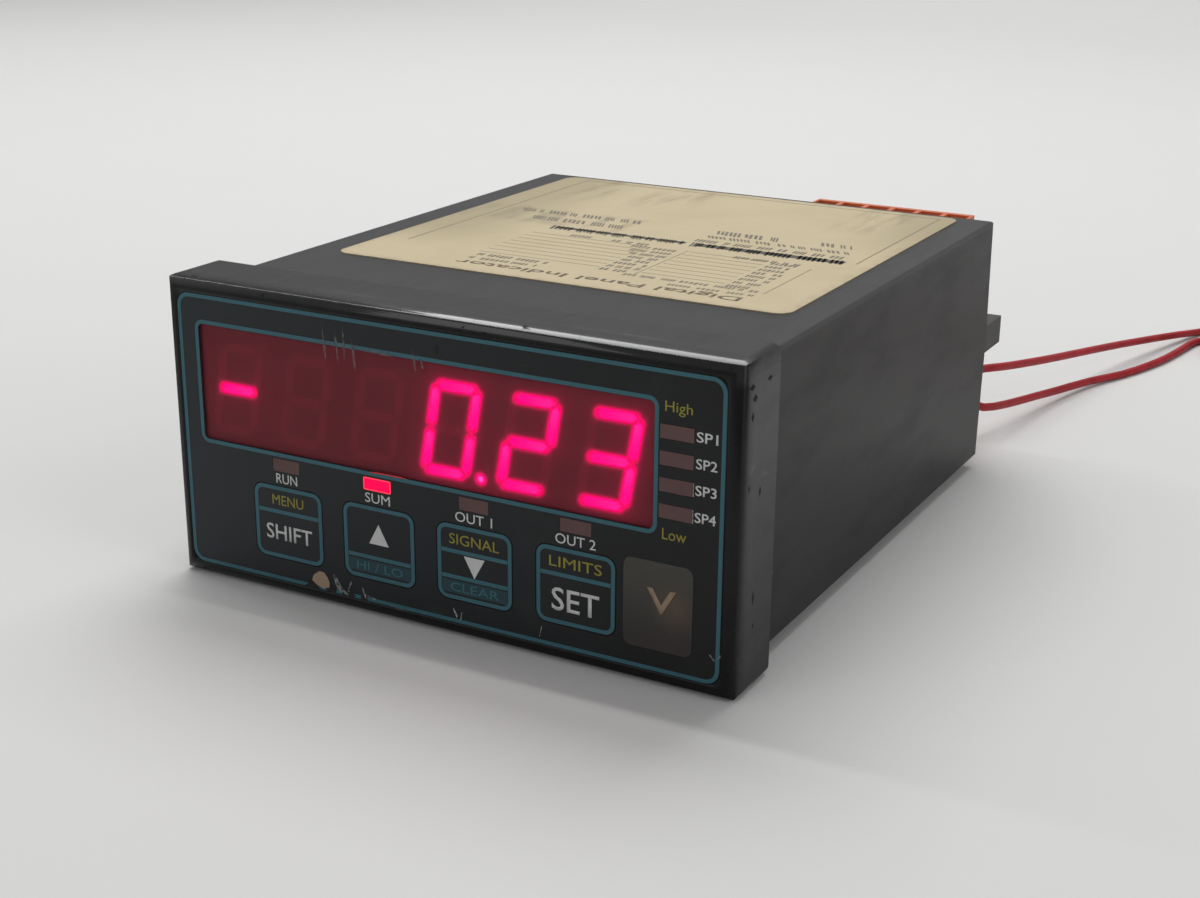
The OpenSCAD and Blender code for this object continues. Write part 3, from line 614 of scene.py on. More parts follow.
@dataclass(frozen=True)
class LabelPaper(Finish):
    """Aged cream label with faint stains and brown edges."""

    colour: tuple = (0.525, 0.435, 0.268)
    clouded: tuple = (0.455, 0.36, 0.20)
    shaded: tuple = (0.37, 0.305, 0.175)
    browned: tuple = (0.33, 0.25, 0.14)
    smeared: tuple = (0.20, 0.155, 0.095)
    speck: tuple = (0.3, 0.23, 0.13)
    bands: tuple = ((-28.0, 6.0, 2.0), (-12.0, 8.0, 3.0), (28.0, 7.0, 3.0))

    def inputs(self, g: Graph) -> dict:
        """Ages the paper with clouds, brown edges, smears and specks.

        Args:
            g: the material's graph.

        Returns:
            The shader's values and links by socket name.
        """
        x, y, _ = g.axes()
        clouds = g.noise(16.0, 5.0, 0.6)
        colour = g.mix(clouds.step(0.35, 0.75) * 0.5, self.colour, self.clouded)
        shade = x.step(-18.0, -36.0) * y.step(40.0, 60.0)
        shade = shade + x.step(26.0, 38.0) * y.step(70.0, 100.0)
        colour = g.mix(shade.clamp(), colour, self.shaded)
        edge = (abs(x).step(37.8, 40.0) + abs(y - 71.0).step(37.2, 39.0)).clamp()
        edge = edge * (0.15 + g.noise(2.0, 3.0).step(0.4, 0.7) * 0.4)
        colour = g.mix(edge, colour, self.browned)
        smears = g.noise(2.6, 3.0, 0.55, (1.0, 0.2, 1.0)).step(0.4, 0.66)
        bands = sum(abs(x - at_x).step(wide, narrow) for at_x, wide, narrow in self.bands).clamp()
        marked = bands * y.step(84.0, 97.0) + x.step(-4.0, -8.0) * abs(y - 74.0).step(7.5, 4.0)
        colour = g.mix(marked.clamp() * smears * 0.45, colour, self.smeared)
        specks = g.noise(0.7, 3.0, 0.6).step(0.68, 0.76) * 0.35
        colour = g.mix(specks, colour, self.speck)
        return {"Base Color": colour, "Roughness": 0.42 + clouds * 0.15,
                "Normal": g.bump(g.noise(0.5, 3.0), 0.01, 0.4)}


@dataclass(frozen=True)
class Metal(Finish):
    """Plated or stamped metal with fine scratches and dull patches."""

    colour: tuple = (0.58, 0.58, 0.57)
    rough: float = 0.32

    def inputs(self, g: Graph) -> dict:
        """Dulls and scratches the metal.

        Args:
            g: the material's graph.

        Returns:
            The shader's values and links by socket name.
        """
        dull = g.noise(1.2, 4.0, 0.7).step(0.4, 0.7)
        lines = g.noise(0.25, 2.0, 0.5, (0.15, 1.0, 1.0))
        colour = g.mix(dull * 0.5, self.colour, darker(self.colour, 0.62))
        return {"Base Color": colour, "Metallic": 1.0 - dull * 0.15,
                "Roughness": self.rough + dull * 0.15, "Normal": g.bump(lines, 0.006)}


@dataclass(frozen=True)
class BoardMask(Finish):
    """Green solder mask with faint copper tracks under it."""

    colour: tuple = (0.018, 0.10, 0.040)
    track: tuple = (0.035, 0.18, 0.06)
    pad: tuple = (0.5, 0.47, 0.4)
    track_pitch: float = 1.27

    def inputs(self, g: Graph) -> dict:
        """Draws tracks and pads under the mask.

        Args:
            g: the material's graph.

        Returns:
            The shader's values and links by socket name.
        """
        x, _, _ = g.axes()
        lanes = abs((x / self.track_pitch).fract() - 0.5)
        tracks = lanes.step(0.3, 0.24) * g.noise(7.0, 1.0).step(0.48, 0.5)
        pads = g.cells(3.1).step(0.14, 0.11)
        colour = g.mix(tracks * 0.6, self.colour, self.track)
        colour = g.mix(pads, colour, self.pad)
        return {"Base Color": colour, "Roughness": 0.34, "Metallic": pads * 0.8,
                "Normal": g.bump(tracks, 0.03, 0.4)}


@dataclass(frozen=True)
class WireSkin(Finish):
    """Dark red wire insulation, slightly waxy, with dull marks."""

    colour: tuple = (0.37, 0.009, 0.018)
    clouded: tuple = (0.28, 0.007, 0.012)
    dull: tuple = (0.36, 0.06, 0.05)

    def inputs(self, g: Graph) -> dict:
        """Clouds the insulation and marks it.

        Args:
            g: the material's graph.

        Returns:
            The shader's values and links by socket name.
        """
        clouds = g.noise(4.0, 4.0, 0.6)
        colour = g.mix(clouds.step(0.35, 0.7), self.colour, self.clouded)
        colour = g.mix(g.noise(0.8, 3.0).step(0.64, 0.76) * 0.2, colour, self.dull)
        return {"Base Color": colour, "Roughness": 0.4 + clouds * 0.2, "Specular IOR Level": 0.35,
                "Normal": g.bump(g.noise(0.6, 2.0), 0.01, 0.4)}


@dataclass(frozen=True)
class Stage(Finish):
    """Plain pale floor and backdrop; the camera sees it as pale where the lamps no longer reach."""

    colour: tuple = (0.655, 0.655, 0.645)
    lift: tuple = (0.40, 0.40, 0.39)
    unlit_right: tuple = (700.0, 1700.0)
    unlit_front: tuple = (-380.0, -1200.0)

    def inputs(self, g: Graph) -> dict:
        """Clouds the floor and lifts it where it would lie in the dark.

        Args:
            g: the material's graph.

        Returns:
            The shader's values and links by socket name.
        """
        faint = g.noise(60.0, 3.0, 0.5)
        colour = g.mix(faint * 0.3, self.colour, darker(self.colour, 0.94))
        x, y, _ = g.axes()
        unlit = (x.step(*self.unlit_right) + y.step(*self.unlit_front)).clamp()
        unlit = unlit * g.node("ShaderNodeLightPath", out="Is Camera Ray")
        return {"Base Color": colour, "Roughness": 0.8, "Emission Strength": 1.0,
                "Emission Color": g.mix(unlit, BLACK, self.lift)}


# ------------------------------------------------------------------ mesh making

CORNER_FACETS = 6
SHARP_ANGLE = math.radians(32.0)
WELD = 2e-6
SLIVER = 1e-7
LETTER_WELD = 0.0005


def to_mesh(bm: bmesh.types.BMesh, name: str) -> bpy.types.Mesh:
    """Writes a finished bmesh to a new mesh and frees it.

    Args:
        bm: the bmesh, which is used up.
        name: the mesh's name.

    Returns:
        The mesh.
    """
    mesh = bpy.data.meshes.new(name)
    bm.to_mesh(mesh)
    bm.free()
    return mesh


def add_object(name: str, data: bpy.types.ID) -> bpy.types.Object:
    """Adds an object to the scene.

    Args:
        name: the object's name.
        data: its mesh, curve, lamp or camera.

    Returns:
        The object.
    """
    made = bpy.data.objects.new(name, data)
    bpy.context.scene.collection.objects.link(made)
    return made


class Shape:
    """A mesh under construction, in millimetres of the front plane or of the meter's own axes."""

    def __init__(self) -> None:
        """Starts empty."""
        self.bm = bmesh.new()

    def polygon(self, points: list) -> "Shape":
        """Adds a flat face through points of the XZ plane."""
        self.bm.faces.new([self.bm.verts.new((x, 0, z)) for x, z in points])
        return self

    def bar(self, w: float, h: float, z: float = 0.0, x: float = 0.0) -> "Shape":
        """Adds a level bar round x and z."""
        left, right, low, high = x - w / 2, x + w / 2, z - h / 2, z + h / 2
        return self.polygon([(left, low), (right, low), (right, high), (left, high)])

    def ring(self, w: float, h: float, r: float, line: float) -> "Shape":
        """Makes a rounded rectangle's outline, measured at the line's middle, in an empty shape.

        Args:
            w: width.
            h: height.
            r: corner radius.
            line: the line's width.

        Returns:
            This shape.
        """
        self.bar(w + line, h + line)
        bmesh.ops.bevel(self.bm, geom=list(self.bm.verts), offset=r + line / 2,
                        offset_type="OFFSET", segments=CORNER_FACETS, profile=0.5,
                        affect="VERTICES", material=-1)
        face = next(iter(self.bm.faces))
        self.inset([face], line)
        bmesh.ops.delete(self.bm, geom=[face], context="FACES_ONLY")
        return self

    def inset(self, faces: list, width: float) -> None:
        """Cuts an even rim off faces."""
        bmesh.ops.inset_region(self.bm, faces=faces, thickness=width, use_boundary=True,
                               use_even_offset=True)

    def thicken(self, depth: float = 0.0, up: float = 0.0) -> "Shape":
        """Gives every face a thickness.

        Args:
            depth: the thickness towards the back.
            up: the thickness upwards.

        Returns:
            This shape.
        """
        made = bmesh.ops.extrude_face_region(self.bm, geom=list(self.bm.faces), use_keep_orig=True)
        moved = [e for e in made["geom"] if isinstance(e, bmesh.types.BMVert)]
        bmesh.ops.translate(self.bm, verts=moved, vec=(0, depth, up))
        bmesh.ops.recalc_face_normals(self.bm, faces=list(self.bm.faces))
        return self

    def moved(self, x: float = 0, y: float = 0, z: float = 0) -> "Shape":
        """Moves the whole shape."""
        bmesh.ops.translate(self.bm, verts=list(self.bm.verts), vec=(x, y, z))
        return self

    def turned(self, degrees: float, axis: str = "Y") -> "Shape":
        """Turns the whole shape about an axis through the origin.

        Args:
            degrees: how far.
            axis: the axis's letter.

        Returns:
            This shape.
        """
        turn = Matrix.Rotation(math.radians(degrees), 3, axis)
        bmesh.ops.rotate(self.bm, verts=list(self.bm.verts), matrix=turn)
        return self

    def join(self, other: "Shape") -> "Shape":
        """Takes in a copy of another shape.

        Args:
            other: the shape, which is used up.

        Returns:
            This shape.
        """
        temporary = to_mesh(other.bm, "temporary")
        self.bm.from_mesh(temporary)
        bpy.data.meshes.remove(temporary)
        return self

    def mesh(self, name: str) -> bpy.types.Mesh:
        """Writes the shape to a mesh in the frame's metres.

        Args:
            name: the mesh's name.

        Returns:
            The mesh.
        """
        mesh = to_mesh(self.bm, name)
        mesh.transform(Matrix.Translation(at(0, 0, 0)) @ Matrix.Scale(MM, 4))
        return mesh


def lettering(text: str, width: float, height: float, bold: float = 0.0) -> Shape:
    """Makes flat letters round the origin, facing the front.

    Args:
        text: the words.
        width: their width over all.
        height: their height over all.
        bold: how far each stroke is widened, as a share of the letter size.

    Returns:
        The letters as a shape.
    """
    curve = bpy.data.curves.new("letters", "FONT")
    curve.body = text
    curve.size = 1.0
    curve.offset = bold
    curve.resolution_u = 3
    holder = add_object("letters", curve)
    bpy.context.view_layer.update()
    evaluated = holder.evaluated_get(bpy.context.evaluated_depsgraph_get())
    flat = bpy.data.meshes.new_from_object(evaluated)
    bpy.data.objects.remove(holder)
    bpy.data.curves.remove(curve)
    shape = Shape()
    shape.bm.from_mesh(flat)
    bpy.data.meshes.remove(flat)
    bmesh.ops.remove_doubles(shape.bm, verts=list(shape.bm.verts), dist=LETTER_WELD)
    xs = [v.co.x for v in shape.bm.verts]
    ys = [v.co.y for v in shape.bm.verts]
    fit = Vector((width / (max(xs) - min(xs)), height / (max(ys) - min(ys)), 1.0))
    middle = Vector(((max(xs) + min(xs)) / 2, (max(ys) + min(ys)) / 2, 0))
    for vert in shape.bm.verts:
        flat_place = (vert.co - middle) * fit
        vert.co = Vector((flat_place.x, 0.0, flat_place.y))
    return shape


def piece(mesh: bpy.types.Mesh, body: Body,
          material: bpy.types.Material) -> bpy.types.Object:
    """Puts a mesh in the scene as a piece of the meter.

    Args:
        mesh: the finished mesh, whose name the piece takes.
        body: the body that it rides on.
        material: its finish.

    Returns:
        The piece.
    """
    made = add_object(mesh.name, mesh)
    mesh.materials.clear()
    mesh.materials.append(material)
    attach(made, body.value)
    LOG.info("%s rides on %s, %d faces", made.name, body.value, len(mesh.polygons))
    return made


def smooth_copy(node: str, name: str, body: Body,
                material: bpy.types.Material) -> None:
    """Replaces a CAD node by a merged copy whose curved faces shade smoothly.

    Args:
        node: the CAD node.
        name: the piece's name.
        body: the body that it rides on.
        material: its finish.
    """
    bm = bmesh.new()
    bm.from_mesh(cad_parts[node].data)
    bmesh.ops.remove_doubles(bm, verts=list(bm.verts), dist=WELD)
    bmesh.ops.dissolve_degenerate(bm, edges=list(bm.edges), dist=SLIVER)
    mesh = to_mesh(bm, name)
    mesh.shade_smooth()
    mesh.set_sharp_from_angle(angle=SHARP_ANGLE)
    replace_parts(piece(mesh, body, material), node)


def dress(material: bpy.types.Material, *nodes: str) -> None:
    """Gives CAD nodes their finish.

    Args:
        material: the finish.
        nodes: the nodes' names.
    """
    for node in nodes:
        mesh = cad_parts[node].data
        mesh.materials.clear()
        mesh.materials.append(material)
        LOG.info("%s dressed", node)


# ------------------------------------------------------------------ camera, stage and light


@dataclass
class Studio:
    """The camera at the viewing angle, a pale floor and soft lamps."""

    azimuth: float = 28.63
    elevation: float = 18.95
    roll: float = 0.48
    distance: float = 0.24402
    target: tuple = (0.02709, 0.03311)
    lens: float = 54.552
    sensor: float = 36.0
    near_clip: float = 0.01
    floor_size: float = 6.0
    floor_rows: int = 48
    sweep_start: float = 0.7
    sweep_radius: float = 0.8
    sky: tuple = (0.8, 0.81, 0.82)
    sky_light: float = 0.36
    sky_lift: float = 0.4

    def camera(self) -> None:
        """Adds the camera, aimed at a point above the bezel's foot."""
        az, el, roll = (math.radians(a) for a in (self.azimuth, self.elevation, self.roll))
        back = Vector((math.sin(az) * math.cos(el), -math.cos(az) * math.cos(el), math.sin(el)))
        right = (-back).cross(Vector((0, 0, 1))).normalized()
        up = right.cross(-back)
        side = right * math.cos(roll) + up * math.sin(roll)
        top = up * math.cos(roll) - right * math.sin(roll)
        aim = Vector((self.target[0], FRONT_Y, self.target[1]))
        holder = add_object("camera", bpy.data.cameras.new("camera"))
        holder.data.lens = self.lens
        holder.data.sensor_width = self.sensor
        holder.data.clip_start = self.near_clip
        turned = Matrix((side, top, back)).transposed().to_4x4()
        holder.matrix_world = Matrix.Translation(aim + back * self.distance) @ turned
        bpy.context.scene.camera = holder

    def floor(self) -> None:
        """Adds the floor, which curves up into the backdrop."""
        shape = bmesh.new()
        bmesh.ops.create_grid(shape, x_segments=1, y_segments=self.floor_rows,
                              size=self.floor_size / 2)
        for vert in shape.verts:
            run = vert.co.y - self.sweep_start
            if run > 0:
                angle = min(run / self.sweep_radius, math.pi / 2)
                rise = run - self.sweep_radius * angle
                vert.co.y = self.sweep_start + self.sweep_radius * math.sin(angle)
                vert.co.z = self.sweep_radius * (1 - math.cos(angle)) + max(rise, 0.0)
        mesh = to_mesh(shape, "floor")
        mesh.shade_smooth()
        mesh.materials.append(Stage().material("pale_floor"))
        add_object("floor", mesh)

    @staticmethod
    def lamp(name: str, place: tuple, aim: tuple, size: tuple, power: float) -> None:
        """Adds a soft area lamp, whose first side runs across the scene.

        Args:
            name: its name.
            place: where it hangs, in metres.
            aim: the point that it faces.
            size: its two sides.
            power: its power in watts.
        """
        light = bpy.data.lights.new(name, "AREA")
        light.shape = "RECTANGLE"
        light.size, light.size_y = size
        light.energy = power
        holder = add_object(name, light)
        back = (Vector(place) - Vector(aim)).normalized()
        across = (Vector((1, 0, 0)) - back * back.x).normalized()
        turned = Matrix((across, back.cross(across), back)).transposed().to_4x4()
        holder.matrix_world = Matrix.Translation(place) @ turned

    def light(self) -> None:
        """Adds the lamps and an even pale world, which the camera sees lighter."""
        self.lamp("overhead", (-0.25, 0.62, 1.05), (0, 0, 0), (1.0, 0.7), 10.0)
        self.lamp("edge_strip", (-0.45, 0.10, 0.93), (0, -0.06, 0.045), (1.5, 0.035), 2.8)
        self.lamp("side_fill", (1.2, -0.15, 0.7), (0, 0, 0.02), (0.9, 0.7), 3.8)
        self.lamp("front_fill", (-0.5, -1.1, 0.6), (0, 0, 0.02), (0.9, 0.7), 2.0)
        world = bpy.data.worlds.new("pale")
        world.use_nodes = True
        g = Graph(world.node_tree)
        strength = g.node("ShaderNodeLightPath", out="Is Camera Ray") * self.sky_lift
        sky = g.node("ShaderNodeBackground", {}, {"Color": g.rgba(self.sky),
                                                  "Strength": strength + self.sky_light})
        g.node("ShaderNodeOutputWorld", {}, {"Surface": sky})
        bpy.context.scene.world = world
        bpy.context.scene.view_settings.view_transform = "Standard"

    def build(self) -> None:
        """Sets up the whole studio."""
        self.camera()
        self.floor()
        self.light()
        LOG.info("studio ready")


# ------------------------------------------------------------------ supply wires


@dataclass
class SupplyWire:
    """One supply wire: out of the plug, down to the table and into its coil, with a bare tip."""

    number: int
    route: list
    coil_centre: tuple
    diameter: float = 1.6
    mean_radius: float = 9.9
    turn_places: tuple = ((1, 0), (0, 0), (0, 1), (1, 1), (1, 2), (0, 2))
    points_per_turn: int = 20
    climb_share: float = 0.3
    wander: float = 0.05
    first_seed: int = 40
    tip_length: float = 6.0
    tip_steps: int = 10
    outer_strands: int = 6
    strand_radius: float = 0.18
    strand_ring: float = 0.36
    strand_twist: float = 24.0

    def _smooth_route(self) -> list:
        """Gives the run up to the coil as a smooth line through the route's points.

        Returns:
            Places in millimetres.
        """
        p = [Vector(q) for q in self.route]
        line = []
        for i in range(len(p) - 1):
            a, b, c, d = p[max(i - 1, 0)], p[i], p[i + 1], p[min(i + 2, len(p) - 1)]
            for k in range(2):
                t = k / 2
                bend = (2 * a - 5 * b + 4 * c - d) * t * t + (3 * b - a - 3 * c + d) * t ** 3
                line.append(0.5 * (2 * b + (c - a) * t + bend))
        return line

    def _coil(self) -> list:
        """Gives the turns, each beside or on the one before.

        Returns:
            Places in millimetres.
        """
        rng = random.Random(self.first_seed + self.number)
        places = [(self.mean_radius + (column - 0.5) * self.diameter, (layer + 0.5) * self.diameter)
                  for column, layer in self.turn_places]
        line = []
        steps = self.points_per_turn
        for turn, (radius, height) in enumerate(places):
            following = places[min(turn + 1, len(places) - 1)]
            for k in range(steps):
                share = max(0.0, (k / steps - 1 + self.climb_share) / self.climb_share)
                share = share * share * (3 - 2 * share)
                off = rng.uniform(-self.wander, self.wander) * (turn + k > 0)
                r = radius + (following[0] - radius) * share + off
                z = height + (following[1] - height) * share
                angle = math.radians(90 - 360 * k / steps)
                line.append(Vector((self.coil_centre[0] + r * math.cos(angle),
                                    self.coil_centre[1] + r * math.sin(angle), z)))
        return line

    def build(self, skin: bpy.types.Material, tinned: bpy.types.Material) -> None:
        """Args:
            skin: the insulation's finish.
            tinned: the bare strands' finish.
        """
        line = self._smooth_route() + self._coil()
        curve = bpy.data.curves.new(f"supply_wire_run_{self.number}", "CURVE")
        curve.dimensions = "3D"
        curve.bevel_depth = self.diameter / 2 * MM
        curve.bevel_resolution = 4
        curve.use_fill_caps = True
        spline = curve.splines.new("POLY")
        spline.points.add(len(line) - 1)
        for point, place in zip(spline.points, line):
            point.co = (*(place * MM), 1.0)
        curve.materials.append(skin)
        wire = add_object(curve.name, curve)
        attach(wire, Body.SUPPLY.value)
        tip = self._tip(line[-1], (line[-1] - line[-2]).normalized(), tinned)
        length = sum((b - a).length for a, b in zip(line, line[1:]))
        LOG.info("supply wire %d measures %.1f mm", self.number, length)
        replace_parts(wire, f"supply_wire_{self.number}", f"wire_coil_{self.number}")

    def _tip(self, start: Vector, heading: Vector, tinned: bpy.types.Material) -> bpy.types.Object:
        """Makes the bare end: a bundle of twisted tinned strands.

        Args:
            start: where the insulation ends.
            heading: the way the wire points there.
            tinned: the strands' finish.

        Returns:
            The piece.
        """
        steps = self.tip_steps
        side = heading.cross(Vector((0, 0, 1))).normalized()
        up = side.cross(heading)
        facing = heading.to_track_quat("Z", "Y").to_matrix().to_4x4()
        bm = bmesh.new()
        for strand in range(1 + self.outer_strands):
            ring_radius = self.strand_ring if strand else 0.0
            rows = []
            for k in range(steps + 1):
                turn = math.radians(360 / self.outer_strands * strand + self.strand_twist * k)
                centre = start + heading * (self.tip_length * k / steps)
                centre = centre + (side * math.cos(turn) + up * math.sin(turn)) * ring_radius
                ring = bmesh.ops.create_circle(
                    bm, segments=6, radius=self.strand_radius, cap_ends=k in (0, steps),
                    matrix=Matrix.Translation(centre) @ facing)
                rows.append(ring["verts"])
            for low, high in zip(rows, rows[1:]):
                edges = [e for e in bm.edges if (e.verts[0] in low and e.verts[1] in low)
                         or (e.verts[0] in high and e.verts[1] in high)]
                bmesh.ops.bridge_loops(bm, edges=edges)
        bmesh.ops.recalc_face_normals(bm, faces=list(bm.faces))
        mesh = to_mesh(bm, f"bare_tip_{self.number}")
        mesh.transform(Matrix.Scale(MM, 4))
        mesh.shade_smooth()
        return piece(mesh, Body.SUPPLY, tinned)


WIRE_1_ROUTE = [
    (32.2, 52.7, 10.4), (32.2, 57.5, 10.4), (32.7, 61, 10.9), (34.5, 65, 11.8), (37.6, 68.7, 12.3),
    (40.6, 72.5, 12.3), (42.2, 78.5, 11.4), (44.6, 89, 10), (46.6, 99.5, 8.6), (49.6, 115.5, 6.6),
    (52.8, 131.5, 4.6), (56.8, 147, 2.8), (60.2, 158, 1.6), (63, 165.5, 0.8), (66.5, 172.5, 0.8),
    (71.5, 179.5, 0.8), (78, 185, 0.8), (86, 187.3, 0.8)]
WIRE_2_ROUTE = [
    (37.3, 52.7, 10.4), (37.3, 57.5, 10.4), (37.9, 60.5, 9.6), (39.4, 63.2, 7.9), (41.6, 66.6, 6),
    (43.5, 75.5, 4.5), (45.6, 88, 3), (47.7, 98, 2), (51.2, 110.7, 1.2), (55.8, 121.2, 0.8),
    (59, 130.3, 0.8), (61.3, 139.3, 0.8), (62.9, 149.7, 0.8), (64, 156, 0.8), (67.5, 160.6, 0.8),
    (73, 162.6, 0.8), (80, 162.8, 0.8)]


# ------------------------------------------------------------------ display

DIGITS = 6
MIDDLE_DIGIT = (DIGITS - 1) / 2
FAR_OUTSIDE = -99.0
UPRIGHT = Matrix.Rotation(math.radians(90), 4, "X")


@dataclass
class Display:
    """The six digits, their segments and the red pane in front."""

    pitch: float = 12.7
    centre_x: float = -3.6
    centre_z: float = 7.55
    face_y: float = 0.73
    figure_h: float = 14.6
    figure_w: float = 8.5
    segment_w: float = 1.7
    gap: float = 0.05
    middle_gap: float = 0.22
    lean: float = 10.0
    shown: tuple = ("g", "", "", "abcdef.", "abdeg", "abcdg")
    point_r: float = 0.85
    point_facets: int = 20
    point_at: tuple = (0.85, -0.05)
    pointed_end: float = 0.7
    round_end: float = 0.8
    lens_depth: float = 0.8
    rim_steps: tuple = (0.22, 0.2, 0.17)
    window: tuple = (-3.35, 8.0, 77.3, 18.4)
    backing_y: float = 0.7
    backing_depth: float = 0.02
    backing_cells: tuple = (306, 71)
    near_glow: float = 0.95
    near_reach: float = 0.19
    wide_glow: float = 0.05
    wide_reach: float = 1.8
    clear_rim: float = 0.16
    ghost_rim: float = 0.2

    def _ends(self, name: str) -> tuple:
        """Gives a segment's two end points before the lean, short of its neighbours by a gap.

        Args:
            name: the segment's letter.

        Returns:
            The two ends, across and up from the figure's middle.
        """
        h, w = (self.figure_h - self.segment_w) / 2, (self.figure_w - self.segment_w) / 2
        ends = {"a": ((-w, h), (w, h)), "b": ((w, h), (w, 0)), "c": ((w, 0), (w, -h)),
                "d": ((-w, -h), (w, -h)), "e": ((-w, 0), (-w, -h)), "f": ((-w, h), (-w, 0)),
                "g": ((-w, 0), (w, 0))}[name]
        a, b = (Vector(end) for end in ends)
        run = (b - a).normalized()
        gaps = [self.middle_gap if name in "bcef" and end.y == 0 else self.gap
                for end in (a, b)]
        return a + run * gaps[0], b - run * gaps[1]

    def _digit_x(self, digit: int) -> float:
        """Gives the middle of a digit, counted from 0."""
        return self.centre_x + (digit - MIDDLE_DIGIT) * self.pitch

    def _slope(self) -> float:
        """Gives how far a figure leans to the right for each millimetre up."""
        return math.tan(math.radians(self.lean))

    def _leaned(self, digit: int, x: float, z: float) -> Vector:
        """Leans a point of a figure and moves it to its digit."""
        return Vector((self._digit_x(digit) + x + z * self._slope(), 0, self.centre_z + z))

    def _upright(self, place: Vector, digit: int) -> tuple[float, float]:
        """Gives a point of the front in a digit's own axes, with the lean taken out."""
        z = place.z - self.centre_z
        return place.x - self._digit_x(digit) - z * self._slope(), z

    def _point_centre(self, digit: int) -> Vector:
        """Gives the middle of a digit's decimal point.

        Args:
            digit: the digit, counted from 0.

        Returns:
            The place on the front.
        """
        across = (self.figure_w - self.segment_w) / 2 + self.segment_w * self.point_at[0]
        up = self.point_at[1] - (self.figure_h - self.segment_w) / 2
        return Vector((self._digit_x(digit) + across, 0, self.centre_z + up))

    def _digit_at(self, x: float) -> int:
        """Gives the digit at a place across the front, counted from 0."""
        return min(DIGITS - 1, max(0, round((x - self.centre_x) / self.pitch + MIDDLE_DIGIT)))

    def _inside(self, place: Vector, digit: int, name: str) -> float:
        """Gives how deep a point lies inside a segment, or how far outside as a negative number.

        Args:
            place: the point on the front.
            digit: the digit, counted from 0.
            name: the segment's letter, or a point for the decimal point.

        Returns:
            Millimetres.
        """
        if name == ".":
            return self.point_r - (place - self._point_centre(digit)).length
        x, z = self._upright(place, digit)
        a, b = self._ends(name)
        run = (b - a).normalized()
        along = (Vector((x, z)) - a).dot(run)
        across = abs((x - a.x) * run.y - (z - a.y) * run.x)
        half, length = self.segment_w / 2, (b - a).length
        ends = min(along, length - along) - across
        inner = min(half - across, ends * self.pointed_end)
        if inner >= 0:
            return inner
        past = max(0.0, half * self.round_end - min(along, length - along))
        return min(0.0, half - math.hypot(across, past))

    def _share(self, place: Vector, digit: int, name: str) -> float:
        """Gives how near a point is to a segment's right or upper end, the bright one, up to 1.

        Args:
            place: the point on the front.
            digit: the digit, counted from 0.
            name: the segment's letter, or a point for the decimal point.

        Returns:
            1 at the bright end and 0 at the other.
        """
        if name == ".":
            return 1.0
        a, b = self._ends(name)
        share = (Vector(self._upright(place, digit)) - a).dot(b - a) / (b - a).length_squared
        return share if name in "adg" else 1.0 - share

    def _segment(self, digit: int, name: str) -> Shape:
        """Draws one segment or the decimal point, with rows of vertices inside its rim.

        Args:
            digit: the digit, counted from 0.
            name: the segment's letter, or a point for the decimal point.

        Returns:
            The flat shape.
        """
        one, half = Shape(), self.segment_w / 2
        if name == ".":
            bmesh.ops.create_circle(one.bm, cap_ends=True, segments=self.point_facets,
                                    radius=self.point_r, matrix=UPRIGHT)
            one.moved(*self._point_centre(digit))
        else:
            a, b = self._ends(name)
            run = (b - a).normalized()
            n = Vector((-run.y, run.x)) * half
            low, high = a + run * half, b - run * half
            leaned = (self._leaned(digit, p.x, p.y)
                      for p in (a, low - n, high - n, b, high + n, low + n))
            one.polygon([(q.x, q.z) for q in leaned])
        face = list(one.bm.faces)
        for width in self.rim_steps:
            one.inset(face, width)
        return one

    def segments(self, material: bpy.types.Material) -> None:
        """Makes the lit segments, each with a bright middle that fades to its rim.

        Args:
            material: the light's finish.
        """
        shape, half = Shape(), self.segment_w / 2
        for digit, names in enumerate(self.shown):
            for name in names:
                shape.join(self._segment(digit, name))
        core, spot = (shape.bm.verts.layers.float.new(key) for key in ("core", "spot"))
        for vert in shape.bm.verts:
            digit = self._digit_at(vert.co.x)
            depth_in, place, name = max(
                (self._inside(vert.co, k, n), k, n)
                for k in (max(digit - 1, 0), digit) for n in self.shown[k] or "g")
            vert[core] = max(0.0, depth_in / half)
            vert[spot] = self._share(vert.co, place, name)
        shape.thicken(self.lens_depth).moved(y=self.face_y)
        made = piece(shape.mesh("lit_figures"), Body.METER, material)
        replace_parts(made, "segments_lit")

    def backing(self, material: bpy.types.Material) -> None:
        """Makes the sheet just before the digits, clear over the lit segments.

        Args:
            material: the sheet's finish.
        """
        cx, cz, w, h = self.window
        shape = Shape()
        across, up = self.backing_cells
        bmesh.ops.create_grid(shape.bm, x_segments=across, y_segments=up, size=0.5,
                              matrix=UPRIGHT)
        bmesh.ops.scale(shape.bm, verts=list(shape.bm.verts), vec=(w, 1, h))
        shape.moved(cx, 0, cz)
        halo, clear, ghost = (shape.bm.verts.layers.float.new(key)
                              for key in ("halo", "clear", "ghost"))
        for vert in shape.bm.verts:
            digit = self._digit_at(vert.co.x)
            near = range(max(digit - 1, 0), min(digit + 2, DIGITS))
            lit = sorted((self._inside(vert.co, k, n) for k in near for n in self.shown[k]),
                         reverse=True)[:3] or [FAR_OUTSIDE]
            dark = max([self._inside(vert.co, digit, n) for n in "abcdefg"
                        if n not in self.shown[digit]] or [FAR_OUTSIDE])
            spread = sum(self.wide_glow * math.exp(min(0.0, depth) / self.wide_reach)
                         for depth in lit)
            vert[halo] = self.near_glow * math.exp(min(0.0, lit[0]) / self.near_reach) + spread
            vert[clear] = min(1.0, max(0.0, (lit[0] + 0.01) / self.clear_rim))
            vert[ghost] = min(1.0, max(0.0, dark / self.ghost_rim))
        shape.thicken(self.backing_depth).moved(y=self.backing_y)
        piece(shape.mesh("figure_backing"), Body.METER, material)

